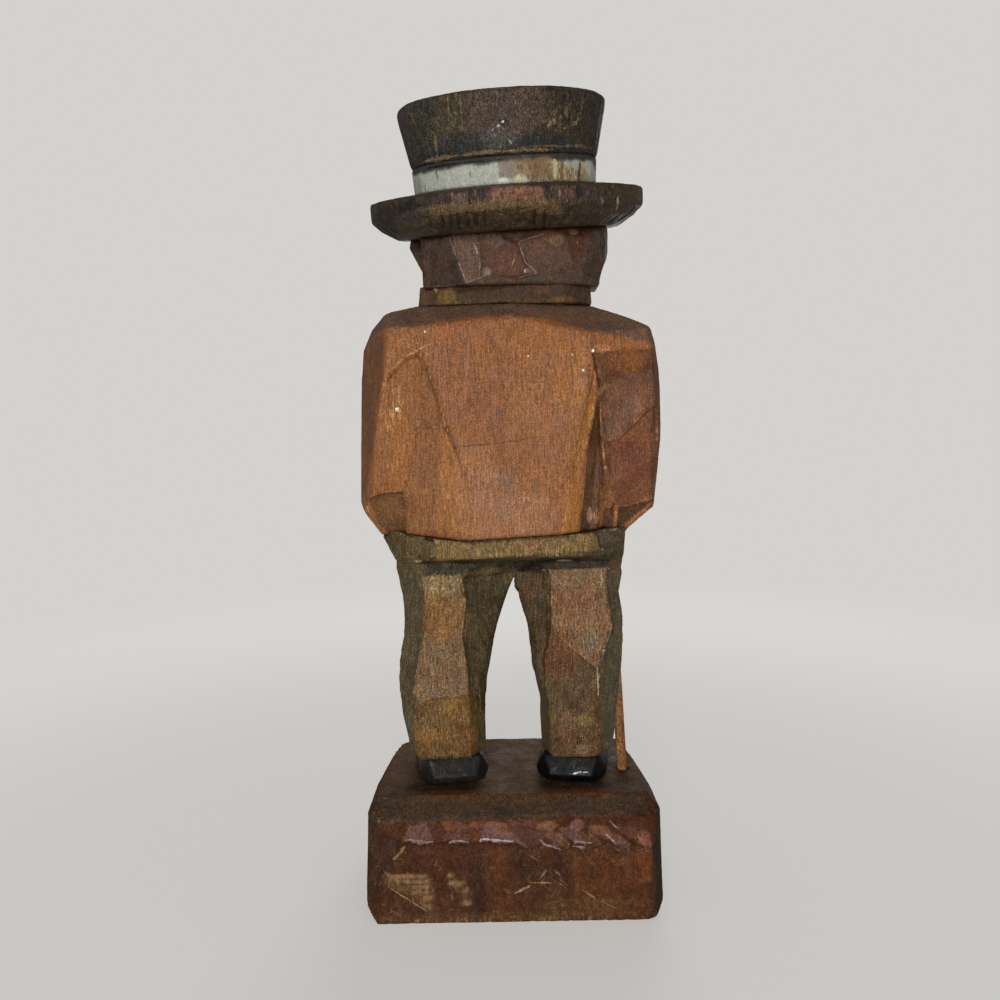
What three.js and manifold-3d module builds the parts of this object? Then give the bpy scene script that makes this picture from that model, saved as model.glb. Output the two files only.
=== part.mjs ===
// A carved and painted wooden villager: an old gentleman in a tall flared hat, a long coat and
// baggy trousers, who stands on a block base with one hand in his pocket and the other on a cane.
//
// Flat-plane carving: each piece starts as a blank that a band saw would cut from two outlines, or
// as a loft of many-sided rings, and a knife then takes flat facets off it.
//
// Units are millimetres. +Z is up, +Y is behind the figure, and +X is the figure's own left. The
// origin is the middle of the base's underside.

import * as THREE from "three";
import { mergeVertices } from "three/addons/utils/BufferGeometryUtils.js";
import Module from "manifold-3d";

const wasm = await Module();
wasm.setup();

// Clearances
const glueLine = 0.3; // left all round a piece that is fitted against its neighbour
const pegClearance = 0.3; // between a peg and its bore, on the radius
const boreBottom = 0.6; // space left for glue at the end of a peg

// Base
const baseWidth = 49;
const baseDepth = 34;
const baseHeight = 18;
const baseChamfer = 3.2; // rough knife chamfer along the back edge of the top
const baseSlope = 4; // shallow slope between that chamfer and the flat top
const baseEdge = 1.8; // chamfer on the other edges of the top
const baseFrontCorner = 6; // cut off the upright corners at the front
const baseFootRise = 2; // how high the lower edges at the sides are rounded off

// Coat
const coatLength = 39; // from the hem to the neck
const coatHalfHem = 17.6;
const coatHalfTop = coatHalfHem * 0.8125; // from the middle to the shoulder seams
const hemLow = coatHalfHem * 0.45; // where the crooked hem hangs lowest
const hemRiseRight = 0.05; // how steeply it rises from there to the figure's right
const hemRiseLeft = 0.1;
const coatBack = 11.2; // behind the middle of the figure
const coatBelly = 11.8; // in front of the middle of the figure
const shoulderBevel = 3.4; // flat taken off behind the neck
const openingHalf = 6.4; // half the width of the coat's opening at the neck
const waistHalf = 4.5; // the same at the waist
const openingDepth = 2.6;
const lapelThickness = 0.9;

// Trousers
const trouserFlare = 2.2; // how far they stand out beyond the coat's hem
const legLength = 34.6;
const legReach = coatHalfHem + trouserFlare; // from the middle of the figure to the calf
const legDepth = 7.6; // from the middle of the figure to the back of the calf
const legPegRadius = 1.8;
const legPegLength = 6; // into the base
const seatHeight = 4.4;
const seatReach = legReach;
const seatDepth = 11;
const crotch = -1; // where the legs meet, across the figure

// Shoes
const shoeLength = 21;
const shoeWidth = 12.4;
const shoeHeight = 5;
const toeHeight = 2.6;
const shoeMiddle = legReach * 0.556; // from the middle of the figure to the middle of a shoe
const heelBack = 6; // how far behind the middle of the figure the heels stand

// Sleeves
const sleeveSpread = 8.2; // how far the sleeves stand out beyond the coat's hem
const sleeveReach = coatHalfHem + sleeveSpread;
const sleeveDepth = 10.6; // behind the middle of the figure
const leftElbow = 6; // height of the left elbow above the hem
const rightElbow = 3.8;

// Waistcoat, shirt and tie
const bellyBulge = 1.6; // how far the waistcoat stands out of the coat's opening
const shirtDepth = 11; // length of the shirt's V below the neck
const buttonRadius = 1.1;
const buttonHeight = 0.8;
const buttonCount = 3;
const buttonPitch = 6;
const tieSpan = 8.6;
const tieHeight = 3.2;

// Head
const skullHalf = 12.4;
const faceFront = 9.6; // in front of the middle of the figure
const skullBack = 5.8;
const hairBack = 10.2;
const hairHalf = 15;
const hairLine = 3.9; // height of the hair's lower edge above the neck
const collarHalf = coatHalfTop + 0.3;
const collarBack = 7.8;
const noseReach = 3.6;
const earReach = 1.8;
const neckPegRadius = 4.5;
const neckPegLength = 7; // into the coat

// Hat
const hatSeat = 13.6; // height of the brim's underside above the neck, in the middle
const hatAside = 0.8; // from the middle of the figure towards its right
const hatBehind = 0.3;
const hatTiltBack = 12.5; // degrees
const hatTiltSide = 2.8; // degrees, towards the figure's left
const brimHalf = 23.3;
const brimThickness = 2.6; // at its edge
const brimBevel = 4.2; // width of the bevel under its edge
const brimBevelRise = 3;
const brimDish = 1; // how much the brim's top climbs towards the band
const bandHalf = 15.4;
const bandHeight = 3.9;
const crownFoot = 15.8; // half the width of the crown at its lower edge
const crownTop = 17.2; // half the width of the crown near its top
const crownHeight = 9.2;
const hatDepthRatio = 0.76; // the hat's depth over its width
const hatPegRadius = 4;
const hatPegLength = 4; // into the head

// Cane
const caneRadius = 0.95;
const caneReach = legReach + 0.4; // from the middle of the figure to the cane's foot
const caneSocket = 3; // depth in the base
const fistReach = coatHalfHem + 1.6; // from the middle of the figure to the middle of the fist
const fistForward = 12; // in front of the middle of the figure
const fistSize = 7.4;

// Heights that the pieces share
const cuff = baseHeight + shoeHeight;
const seatBottom = cuff + legLength;
const hem = seatBottom + seatHeight;
const neck = hem + coatLength;
const brimBottom = neck + hatSeat;
const fistMiddle = hem + fistSize * 0.3;
const cuffForward = fistForward - fistSize / 2 + glueLine; // where the right sleeve ends

// Paint and bare wood
const paint = (color, roughness = 0.6) =>
  new THREE.MeshStandardMaterial({ color, roughness, metalness: 0 });
const coatPaint = paint(0x96592f);
const trouserPaint = paint(0x6f5428);
const hatPaint = paint(0x33291f);
const hairPaint = paint(0x5a3524);
const skinPaint = paint(0xb9854f);
const basePaint = paint(0x5a2f1c);
const shoePaint = paint(0x17181b, 0.3);
const bandPaint = paint(0xb9b8a2);
const linenPaint = paint(0xcfc6a8);
const waistcoatPaint = paint(0x6b6a2e);
const canePaint = paint(0xa06a30);

// Turns a closed three.js geometry into a solid that can be joined and cut.
function solidFrom(geometry) {
  const loose = geometry.index ? geometry.toNonIndexed() : geometry;
  const bare = new THREE.BufferGeometry();
  bare.setAttribute("position", loose.getAttribute("position"));
  const merged = mergeVertices(bare, 1e-4);
  return new wasm.Manifold(
    new wasm.Mesh({
      numProp: 3,
      vertProperties: merged.attributes.position.array,
      triVerts: new Uint32Array(merged.index.array),
    }),
  );
}

// Turns a solid back into a flat-shaded three.js geometry.
function geometryFrom(solid) {
  const { vertProperties, triVerts } = solid.getMesh();
  const geometry = new THREE.BufferGeometry();
  geometry.setAttribute("position", new THREE.BufferAttribute(vertProperties, 3));
  geometry.setIndex(new THREE.BufferAttribute(triVerts, 1));
  const flat = geometry.toNonIndexed();
  flat.computeVertexNormals();
  return flat;
}

// How an outline lies on the blank: its two axes, and the axis that it is sawn along.
const layouts = {
  front: [[1, 0, 0], [0, 0, 1], [0, -1, 0]], // outline in X and Z
  side: [[0, 1, 0], [0, 0, 1], [1, 0, 0]], // outline in Y and Z
  plan: [[1, 0, 0], [0, 1, 0], [0, 0, 1]], // outline in X and Y
};

// A prism with the given outline, between two places on the axis that it is sawn along.
function prism(layout, outline, from, to) {
  const shape = new THREE.Shape(outline.map(([a, b]) => new THREE.Vector2(a, b)));
  const geometry = new THREE.ExtrudeGeometry(shape, { depth: to - from, bevelEnabled: false });
  geometry.translate(0, 0, layout === "front" ? -to : from);
  const axes = layouts[layout].map((axis) => new THREE.Vector3(...axis));
  geometry.applyMatrix4(new THREE.Matrix4().makeBasis(...axes));
  return solidFrom(geometry);
}

// What is left of a block after it is sawn to a front outline and then to a side outline.
function sawnBlank(front, side) {
  const reach = 200;
  return prism("front", front, -reach, reach).intersect(prism("side", side, -reach, reach));
}

// Knife cuts: each takes off all that lies beyond a plane, given by a point on the plane and the
// way that the new facet faces.
function carve(solid, cuts) {
  const blade = 300;
  return cuts.reduce((left, { at, facing }) => {
    const waste = new THREE.BoxGeometry(blade, blade, blade);
    waste.translate(0, 0, blade / 2);
    waste.applyQuaternion(
      new THREE.Quaternion().setFromUnitVectors(
        new THREE.Vector3(0, 0, 1),
        new THREE.Vector3(...facing).normalize(),
      ),
    );
    waste.translate(...at);
    return left.subtract(solidFrom(waste));
  }, solid);
}

// What is left under either of two sets of cuts, so that their facets meet in a valley.
const valley = (solid, above, below) => carve(solid, above).add(carve(solid, below));

// A skin through rings of points, each counter-clockwise seen from above, closed at both ends.
function loft(rings) {
  const count = rings[0].length;
  const last = (rings.length - 1) * count;
  const faces = [];
  for (let ring = 0; ring < last; ring += count) {
    for (let i = 0; i < count; i++) {
      const a = ring + i;
      const b = ring + ((i + 1) % count);
      faces.push(a, b, b + count, a, b + count, a + count);
    }
  }
  for (let i = 1; i < count - 1; i++) {
    faces.push(0, i + 1, i);
    faces.push(last, last + i, last + i + 1);
  }
  const geometry = new THREE.BufferGeometry();
  const points = new Float32Array(rings.flat(2));
  geometry.setAttribute("position", new THREE.BufferAttribute(points, 3));
  geometry.setIndex(faces);
  return solidFrom(geometry);
}

// A round peg or bore between two points.
function rod(radius, from, to, sides = 20) {
  const start = new THREE.Vector3(...from);
  const along = new THREE.Vector3(...to).sub(start);
  const geometry = new THREE.CylinderGeometry(radius, radius, along.length(), sides);
  geometry.translate(0, along.length() / 2, 0);
  geometry.applyQuaternion(
    new THREE.Quaternion().setFromUnitVectors(new THREE.Vector3(0, 1, 0), along.normalize()),
  );
  geometry.translate(...start.toArray());
  return solidFrom(geometry);
}

// A shape turned about +Z from a profile of [radius, height], squeezed front to back to an oval.
function turned(profile, oval = 1, sides = 28) {
  const outline = profile.map(([radius, height]) => new THREE.Vector2(radius, height));
  const geometry = new THREE.LatheGeometry(outline, sides);
  geometry.rotateX(Math.PI / 2);
  geometry.scale(1, oval, 1);
  return solidFrom(geometry);
}

// The biggest body of a solid, without the chips that a cut can leave.
function withoutChips(solid) {
  const bodies = solid.decompose();
  return bodies.reduce((best, body) => (body.volume() > best.volume() ? body : best));
}

// A piece pared away wherever it would come within a glue line of its neighbours.
function fitted(piece, neighbours) {
  const shifts = [[0, 0, 0]];
  for (const axis of [0, 1, 2]) {
    for (const side of [-1, 1]) {
      const shift = [0, 0, 0];
      shift[axis] = side * glueLine;
      shifts.push(shift);
    }
  }
  const pared = neighbours.reduce(
    (left, neighbour) =>
      shifts.reduce((rest, shift) => rest.subtract(neighbour.translate(shift)), left),
    piece,
  );
  return withoutChips(pared);
}

const mirrored = (points) => points.map(([x, ...rest]) => [-x, ...rest]);

const figure = new THREE.Group();

function add(name, solid, material) {
  const mesh = new THREE.Mesh(geometryFrom(solid), material);
  mesh.name = name;
  figure.add(mesh);
}

// Base: a block with a rough chamfer round its top and its upright corners cut off.
function carveBase() {
  const side = baseWidth / 2;
  const back = baseDepth / 2;
  const backFace = baseHeight - baseChamfer - 2.3;
  const blank = sawnBlank(
    [
      [-side, 0], [side, 0], [side, baseHeight - baseEdge],
      [side - baseEdge, baseHeight], [baseEdge - side, baseHeight], [-side, baseHeight - baseEdge],
    ],
    [
      [-back, 0], [back, 0], [back, backFace], [back - baseChamfer, backFace + baseChamfer],
      [back - baseChamfer - baseSlope, baseHeight],
      [baseEdge - back, baseHeight], [-back, baseHeight - baseEdge],
    ],
  );
  const carved = carve(blank, [
    { at: [side * 0.76, back, backFace + 0.8], facing: [0.64, 0.77, 0.18] },
    { at: [-side * 0.88, back, backFace], facing: [-0.85, 0.53, 0.1] },
    { at: [side, baseFrontCorner - back, backFace], facing: [1, -0.9, 0.08] },
    { at: [-side, baseFrontCorner - back, backFace], facing: [-1, -0.9, 0.08] },
    { at: [side, -back * 0.2, backFace], facing: [1, -0.16, 0.18] },
    { at: [-side, -back * 0.1, backFace], facing: [-1, -0.16, 0.22] },
    { at: [side, 0, baseFootRise], facing: [1, 0, -0.95] },
    { at: [-side, 0, baseFootRise * 0.8], facing: [-1, 0, -1.6] },
  ]);
  return scoops.reduce((block, [share, slant, bite]) => {
    const gouge = new THREE.CylinderGeometry(scoopRadius, scoopRadius, 2 * baseChamfer, 40);
    gouge.rotateZ(slant);
    gouge.rotateX(-Math.PI / 4);
    const away = (scoopRadius - bite) / Math.SQRT2;
    const y = back - baseChamfer / 2 + away;
    gouge.translate(share * side, y, backFace + baseChamfer / 2 + away);
    return block.subtract(solidFrom(gouge));
  }, carved);
}

// Shallow scoops that the knife left along the chamfer: place, slant and depth of bite.
const scoopRadius = 9;
const scoops = [
  [0.76, 0.1, 0.5], [0.47, -0.15, 0.6], [0.2, 0.2, 0.45], [-0.06, -0.1, 0.5], [-0.3, 0.3, 0.6],
  [-0.52, 0.35, 0.5], [-0.74, 0.4, 0.55],
];

// A shoe with its sole on the base: blank sawn from the side, then the toe and heel rounded.
function carveShoe(side) {
  const half = shoeWidth / 2;
  const toe = heelBack - shoeLength;
  const sole = baseHeight + glueLine;
  const top = cuff - glueLine;
  const blank = sawnBlank(
    [
      [-half * 0.92, sole], [half * 0.92, sole], [half, sole + 1.2],
      [half * 0.78, top], [-half * 0.78, top], [-half, sole + 1.2],
    ],
    [
      [toe + 0.6, sole], [heelBack - 0.6, sole], [heelBack, sole + 1.2],
      [heelBack - 1.4, top], [toe + shoeLength * 0.42, top],
      [toe + 1, sole + toeHeight], [toe, sole + 1],
    ],
  );
  const shaped = carve(blank, [
    { at: [half, toe + shoeLength * 0.42, 0], facing: [1, -0.28, 0] },
    { at: [-half, toe + shoeLength * 0.42, 0], facing: [-1, -0.28, 0] },
    { at: [half * 0.62, toe + shoeLength * 0.12, 0], facing: [1, -0.9, 0] },
    { at: [-half * 0.62, toe + shoeLength * 0.12, 0], facing: [-1, -0.9, 0] },
    { at: [half * 0.98, heelBack - shoeLength * 0.16, 0], facing: [1, 0.7, 0] },
    { at: [-half * 0.98, heelBack - shoeLength * 0.16, 0], facing: [-1, 0.7, 0] },
  ]);
  return shaped.rotate([0, 0, side * 9]).translate([side * shoeMiddle, 0, 0]);
}

// A trouser leg through stations of [height, outer, inner, outer back, inner back, back, front]:
// heights are shares of the leg's length, and the rest are shares of its reach and of its depth.
// The knife cuts that follow are [across, back, height] in the same shares, and the way they face.
function carveLeg(side, stations, cuts) {
  const rings = stations.map(([height, outer, inner, backOuter, backInner, back, front]) => {
    const across = (share) => side * share * legReach;
    const y = (share) => share * legDepth;
    const between = (share) => across(inner + (outer - inner) * share);
    const ring = [
      [across(outer), y(front * 0.35)], [across(outer), y(back * 0.3)],
      [across(backOuter), y(back)], [across(backInner), y(back)],
      [across(inner), y(back * 0.35)], [across(inner), y(front * 0.4)],
      [between(0.25), y(front)], [between(0.8), y(front)],
    ].map(([x, depth]) => [x, depth, cuff + height * legLength]);
    return side > 0 ? ring : ring.reverse();
  });
  const leg = carve(loft(rings), [
    { at: [crotch + (side * glueLine) / 2, 0, 0], facing: [-side, 0, 0] },
    ...cuts.map(([across, back, height, ...facing]) => ({
      at: [across * legReach, back * legDepth, cuff + height * legLength], facing,
    })),
  ]);
  return leg.add(legPeg(side, legPegRadius, legPegLength));
}

// The peg that a leg stands on, or with a larger radius and depth the bore for it.
function legPeg(side, radius, depth) {
  const x = side * shoeMiddle;
  return rod(radius, [x, 0, baseHeight - depth], [x, 0, cuff + legLength / 8]);
}

// The seat of the trousers, which shows as a strip under the coat and bulges at the pocket.
function carveSeat() {
  const bottom = seatBottom + glueLine;
  const top = hem - glueLine;
  const high = top + coatHalfHem * hemRiseLeft;
  const backHalf = seatReach * 0.66;
  const blank = sawnBlank(
    [
      [-seatReach, bottom], [seatReach, bottom],
      [seatReach * 1.12, top], [seatReach * 1.12, high],
      [-seatReach * 1.02, high], [-seatReach * 1.02, top],
    ],
    [
      [-seatDepth * 0.86, bottom], [seatDepth * 0.66, bottom],
      [seatDepth, bottom + seatHeight * 0.3], [seatDepth, high], [-seatDepth * 0.9, high],
    ],
  );
  const underHem = valley(
    blank,
    [{ at: [hemLow, 0, top], facing: [hemRiseRight, 0, 1] }],
    [{ at: [hemLow, 0, top], facing: [-hemRiseLeft, 0, 1] }],
  );
  return carve(underHem, [
    { at: [backHalf, seatDepth, 0], facing: [0.74, 0.67, 0] },
    { at: [-backHalf, seatDepth, 0], facing: [-0.7, 0.71, 0] },
    { at: [backHalf, -seatDepth * 0.9, 0], facing: [0.3, -1, 0] },
    { at: [-backHalf, -seatDepth * 0.9, 0], facing: [-0.3, -1, 0] },
  ]);
}

// The front of the coat and of the waistcoat seen from the side, as [y, z] from the hem up.
const coatFrontLine = [
  [-coatBelly * 0.96, hem], [-coatBelly, hem + coatLength * 0.3],
  [-coatBelly * 0.95, hem + coatLength * 0.66], [-coatBelly * 0.93, neck - coatLength * 0.14],
  [-coatBelly * 0.87, neck],
];
const waistcoatFrontLine = coatFrontLine.map(([y, z], i) => [y - bellyBulge * (i < 3 ? 1 : 0.6), z]);
const openingFloor = -(coatBelly - openingDepth);

// The depth of such a line at a given height.
function depthAt(line, z) {
  const next = line.findIndex(([, height]) => height >= z);
  const [y0, z0] = line[next - 1];
  const [y1, z1] = line[next];
  return y0 + ((y1 - y0) * (z - z0)) / (z1 - z0);
}

// The opening down the coat's front, or what fills it when it is drawn in by a clearance.
function opening(inset = 0) {
  const half = [
    [waistHalf * 1.7 - inset, hem], [waistHalf - inset, hem + coatLength * 0.3],
    [waistHalf - inset, hem + coatLength * 0.45], [openingHalf - inset, neck],
  ];
  return [...half, ...mirrored(half).reverse()];
}

// The coat's side seams, where the sleeves meet it, drawn out by a clearance.
function sideSeam(outset = 0) {
  return [
    [coatHalfHem + outset, hem], [coatHalfHem * 0.945 + outset, hem + coatLength * 0.2],
    [coatHalfTop + outset, neck - coatLength * 0.2], [coatHalfTop + outset, neck],
  ];
}

// The coat: a flat back between two creases, with the skirt's sides falling away from them.
function carveCoat() {
  const seam = sideSeam();
  const crest = neck - shoulderBevel * 0.82;
  const blank = sawnBlank([...seam, ...mirrored(seam).reverse()], [
    ...coatFrontLine, [coatBack, neck], [coatBack - 0.3, hem + coatLength * 0.4], [coatBack, hem],
  ]);
  const crease = [coatHalfHem * 0.335, coatBack, hem + coatLength * 0.18];
  const body = carve(blank, [
    { at: [-1.6, coatBack, crest], facing: [0.085, 0.857, 1] },
    { at: [-1.6, coatBack, crest], facing: [-0.239, 0.857, 1] },
    { at: [-coatHalfTop, coatBack, neck - coatLength * 0.22], facing: [-0.42, 0.9, -0.08] },
    { at: [-coatHalfHem * 0.684, coatBack * 0.886, hem + 4.2], facing: [-0.7, 0.7, -0.085] },
    { at: [hemLow, 0, hem], facing: [-hemRiseRight, 0, -1] },
    { at: [hemLow, 0, hem], facing: [hemRiseLeft, 0, -1] },
  ]);
  const creased = valley(
    body,
    [{ at: crease, facing: [0.36, 0.92, -0.125] }],
    [{ at: crease, facing: [0.36, 0.92, 0] }],
  );
  return creased.subtract(prism("front", opening(), -4 * coatBelly, openingFloor));
}

// A lapel: a thin leaf that lies on the coat's chest beside the opening.
function carveLapel(side) {
  const leaf = [
    [waistHalf + glueLine, hem + coatLength * 0.42], [openingHalf, neck - coatLength * 0.06],
    [openingHalf * 1.5, neck - coatLength * 0.05], [coatHalfTop * 0.86, neck - coatLength * 0.13],
    [coatHalfTop * 0.68, neck - coatLength * 0.17], [coatHalfTop * 0.84, neck - coatLength * 0.24],
  ];
  const under = coatFrontLine.map(([y, z]) => [y - glueLine, z]);
  const over = coatFrontLine.map(([y, z]) => [y - glueLine - lapelThickness, z]);
  return sawnBlank(side > 0 ? leaf : mirrored(leaf), [...under, ...over.reverse()]);
}

// The left sleeve hangs with its hand in the pocket.
function carveLeftSleeve() {
  const out = (share) => sleeveReach * share;
  const elbow = hem + leftElbow;
  const shoulder = neck - coatLength * 0.113;
  const blank = sawnBlank(
    [
      ...sideSeam(glueLine), [out(0.74), neck - 1.2], [out(0.88), neck - 3.2],
      [out(0.96), neck - 6.4], [out(0.985), neck - 12], [out(1), elbow],
      [out(0.87), hem + glueLine],
    ],
    [
      [sleeveDepth * 0.3, hem + glueLine], [sleeveDepth * 0.9, elbow + 3.2],
      [sleeveDepth, neck - coatLength * 0.25],
      [coatBack, neck - coatLength * 0.18], [coatBack, shoulder], [coatBack * 0.6, neck],
      [-sleeveDepth * 0.35, neck], [-sleeveDepth * 0.66, shoulder],
      [-sleeveDepth * 0.62, hem + coatLength * 0.6], [-sleeveDepth * 0.8, hem + coatLength * 0.3],
      [-sleeveDepth * 0.96, hem + 2.6], [-sleeveDepth * 0.3, hem + glueLine],
    ],
  );
  return carve(blank, [
    { at: [out(0.755), sleeveDepth * 0.93, neck - 7], facing: [0.86, 0.5, 0.06] },
    { at: [out(0.755), sleeveDepth * 0.93, neck - 7], facing: [0.2, 0.97, -0.1] },
    { at: [coatHalfHem, sleeveDepth * 0.74, elbow + 2], facing: [0.12, 0.8, -0.6] },
    { at: [out(0.95), -sleeveDepth * 0.5, neck - 14], facing: [0.8, -0.6, 0.1] },
    { at: [out(0.9), -sleeveDepth * 0.7, elbow], facing: [0.55, -0.8, -0.1] },
  ]);
}

// The right sleeve is bent at the elbow, and the forearm comes forward to the cane.
function carveRightSleeve() {
  const out = (share) => -(sleeveReach + 0.3) * share;
  const elbow = hem + rightElbow;
  const shoulder = neck - coatLength * 0.11;
  const ridge = [out(0.658), sleeveDepth * 0.93, hem + coatLength * 0.415];
  const blank = sawnBlank(
    [
      ...mirrored(sideSeam(glueLine)), [out(0.69), neck - 1.4], [out(0.81), neck - 2.8],
      [out(0.92), neck - 4.4], [out(0.96), neck - 6.8], [out(0.99), neck - 11],
      [out(1), neck - 16], [out(0.975), elbow + 0.8], [out(0.81), hem + 1.1],
      [out(0.77), hem - 0.2], [out(0.69), hem - 0.2],
    ],
    [
      [sleeveDepth * 0.2, hem - 0.2], [sleeveDepth * 0.6, hem + 1.8],
      [sleeveDepth * 0.8, elbow + 2.4], [sleeveDepth, neck - coatLength * 0.5],
      [coatBack, neck - 8], [coatBack, shoulder], [coatBack * 0.52, neck], [-sleeveDepth * 0.35, neck], [-sleeveDepth * 0.66, shoulder],
      [-sleeveDepth * 0.62, hem + coatLength * 0.5], [-sleeveDepth * 0.7, elbow + 7],
      [-cuffForward, elbow + 4.6], [-cuffForward, hem - 0.2],
    ],
  );
  return carve(blank, [
    { at: [out(0.95), sleeveDepth * 0.72, neck - 16], facing: [-0.86, 0.5, 0.05] },
    { at: [-coatHalfTop, coatBack, neck - coatLength * 0.15], facing: [-0.06, 0.857, 1] },
    { at: ridge, facing: [-0.18, 0.97, -0.02] },
    { at: ridge, facing: [-0.34, 0.93, -0.33] },
    { at: ridge, facing: [0.5, 0.86, -0.18] },
    { at: [out(0.95), -sleeveDepth * 0.5, neck - 14], facing: [-0.8, -0.6, 0.1] },
    { at: [out(0.97), -sleeveDepth * 0.5, elbow], facing: [-0.95, -0.3, 0] },
  ]);
}

// The left hand goes down into the pocket, so only its back shows under the cuff.
function carveLeftHand() {
  const x = seatReach * 0.98;
  const y = -seatDepth * 0.5;
  const blank = sawnBlank(
    [[x - 1.6, hem - 3.4], [x + 1.2, hem - 3.4], [x + 2, hem + 1], [x + 1, hem + 3], [x - 2, hem + 3]],
    [[y - 2.6, hem - 3.4], [y + 1.4, hem - 3.4], [y + 2.4, hem + 3], [y - 3.4, hem + 3]],
  );
  return carve(blank, [
    { at: [x + 1.4, y - 2, 0], facing: [0.7, -0.7, 0] },
    { at: [x + 1.6, y + 1.6, 0], facing: [0.8, 0.6, 0] },
  ]);
}

// The line of the cane, from its socket in the base up through the fist.
const caneFoot = new THREE.Vector3(-caneReach, -0.2, baseHeight);
const caneLine = new THREE.Vector3(-fistReach, -fistForward, fistMiddle).sub(caneFoot).normalize();
const alongCane = (distance) => caneFoot.clone().addScaledVector(caneLine, distance);

// The right hand is a fist round the cane, with the fingers parted by notches.
function carveRightHand() {
  const half = fistSize / 2;
  const octagon = [
    [-half * 0.6, -half], [half * 0.6, -half], [half, -half * 0.5], [half, half * 0.5],
    [half * 0.6, half], [-half * 0.6, half], [-half, half * 0.5], [-half, -half * 0.5],
  ];
  const at = ([a, b]) => [a - fistReach, b + fistMiddle];
  const blank = sawnBlank(
    octagon.map(at),
    octagon.map(([a, b]) => [a - fistForward, b + fistMiddle]),
  );
  const notch = (height) =>
    prism("side", [
      [-fistForward - fistSize, height - 0.5], [-fistForward - half * 0.72, height],
      [-fistForward - fistSize, height + 0.5],
    ], -fistReach - fistSize, -fistReach + fistSize);
  const fingers = [-0.42, 0, 0.42].reduce(
    (hand, share) => hand.subtract(notch(fistMiddle + share * half)),
    blank,
  );
  const bore = rod(
    caneRadius + pegClearance,
    alongCane(0).toArray(),
    alongCane(2 * (fistMiddle - baseHeight)).toArray(),
  );
  return fingers.subtract(bore);
}

// The cane: a whittled stick with a knob, its foot let into the base.
function carveCane() {
  const length = alongCane(0).distanceTo(new THREE.Vector3(-fistReach, -fistForward, fistMiddle));
  const top = length + fistSize * 0.5;
  const profile = [
    [0, -caneSocket], [caneRadius * 0.8, -caneSocket], [caneRadius * 0.9, length * 0.3],
    [caneRadius, top + glueLine], [caneRadius * 1.5, top + glueLine * 2],
    [caneRadius * 2, top + 1.6], [caneRadius * 1.6, top + 3], [0, top + 3.6],
  ];
  const matrix = new THREE.Matrix4().makeRotationFromQuaternion(
    new THREE.Quaternion().setFromUnitVectors(new THREE.Vector3(0, 0, 1), caneLine),
  );
  matrix.setPosition(caneFoot);
  return turned(profile, 1, 9).transform(matrix.elements);
}

// The waistcoat fills the coat's opening and stands out over the belly.
function carveWaistcoat() {
  const bottom = hem + 1;
  const top = neck - 0.8;
  const panel = prism("front", opening(glueLine), -4 * coatBelly, openingFloor - glueLine);
  const side = prism("side", [
    [0, bottom], [depthAt(waistcoatFrontLine, bottom) + 0.5, bottom],
    ...waistcoatFrontLine.slice(1, -1), [depthAt(waistcoatFrontLine, top), top], [0, top],
  ], -openingHalf * 2, openingHalf * 2);
  const gap = waistHalf * 0.58;
  const points = [[-gap, hem - gap], [gap, hem - gap], [0, hem + gap * 1.3]];
  const notch = prism("front", points, -4 * coatBelly, 0);
  const shirtV = prism("front", shirtOutline(glueLine), -4 * coatBelly, 0);
  return carve(panel.intersect(side).subtract(notch).subtract(shirtV), [
    { at: [0, -coatBelly - bellyBulge - 0.1, 0], facing: [0.12, -1, 0] },
    { at: [0, -coatBelly - bellyBulge - 0.1, 0], facing: [-0.12, -1, 0] },
  ]);
}

// The V of the shirt above the waistcoat, drawn out by a clearance.
function shirtOutline(outset = 0) {
  const top = neck + outset * 2;
  return [
    [0, neck - shirtDepth - outset * 2], [openingHalf * 0.6 + outset, top],
    [-openingHalf * 0.6 - outset, top],
  ];
}

// The shirt front, a little lower than the waistcoat, with a pleat down the middle.
function carveShirt() {
  const front = waistcoatFrontLine.map(([y, z]) => [y + 1, z]);
  const bottom = neck - shirtDepth;
  const top = neck - 0.8;
  const blank = sawnBlank(shirtOutline(), [
    [openingFloor - glueLine, bottom], [depthAt(front, bottom), bottom],
    [depthAt(front, neck - 6), neck - 6], [depthAt(front, top), top], [openingFloor - glueLine, top],
  ]);
  return carve(blank, [
    { at: [0, depthAt(front, neck - 6), neck - 6], facing: [0.16, -1, 0.2] },
    { at: [0, depthAt(front, neck - 6), neck - 6], facing: [-0.16, -1, 0.2] },
  ]);
}

// A bow tie: two wings and a knot, cut from one bar.
function carveTie() {
  const middle = neck - tieHeight * 0.9;
  const half = tieHeight / 2;
  const wings = [
    [0, middle - half * 0.35], [tieSpan / 2, middle - half], [tieSpan / 2, middle + half],
    [0, middle + half * 0.35], [-tieSpan / 2, middle + half], [-tieSpan / 2, middle - half],
  ];
  const y = -coatBelly;
  const bar = prism("front", wings, y - 1.4, y + 2);
  const knot = prism("front", [
    [-1, middle - half * 0.7], [1, middle - half * 0.7], [1, middle + half * 0.7],
    [-1, middle + half * 0.7],
  ], y - 2, y + 2);
  return carve(bar, [
    { at: [0, y - 0.9, middle], facing: [0.22, -1, 0] },
    { at: [0, y - 0.9, middle], facing: [-0.22, -1, 0] },
  ]).add(knot);
}

// A waistcoat button with its edge taken off, facing forwards.
function carveButton(index) {
  const z = hem + coatLength * 0.2 + index * buttonPitch;
  const y = depthAt(waistcoatFrontLine, z);
  const button = turned([
    [0, -2], [buttonRadius, -2], [buttonRadius, buttonHeight * 0.6],
    [buttonRadius * 0.7, buttonHeight], [0, buttonHeight],
  ], 1, 12);
  return button.rotate([90, 0, 0]).translate([0, y - glueLine, z]);
}

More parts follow.
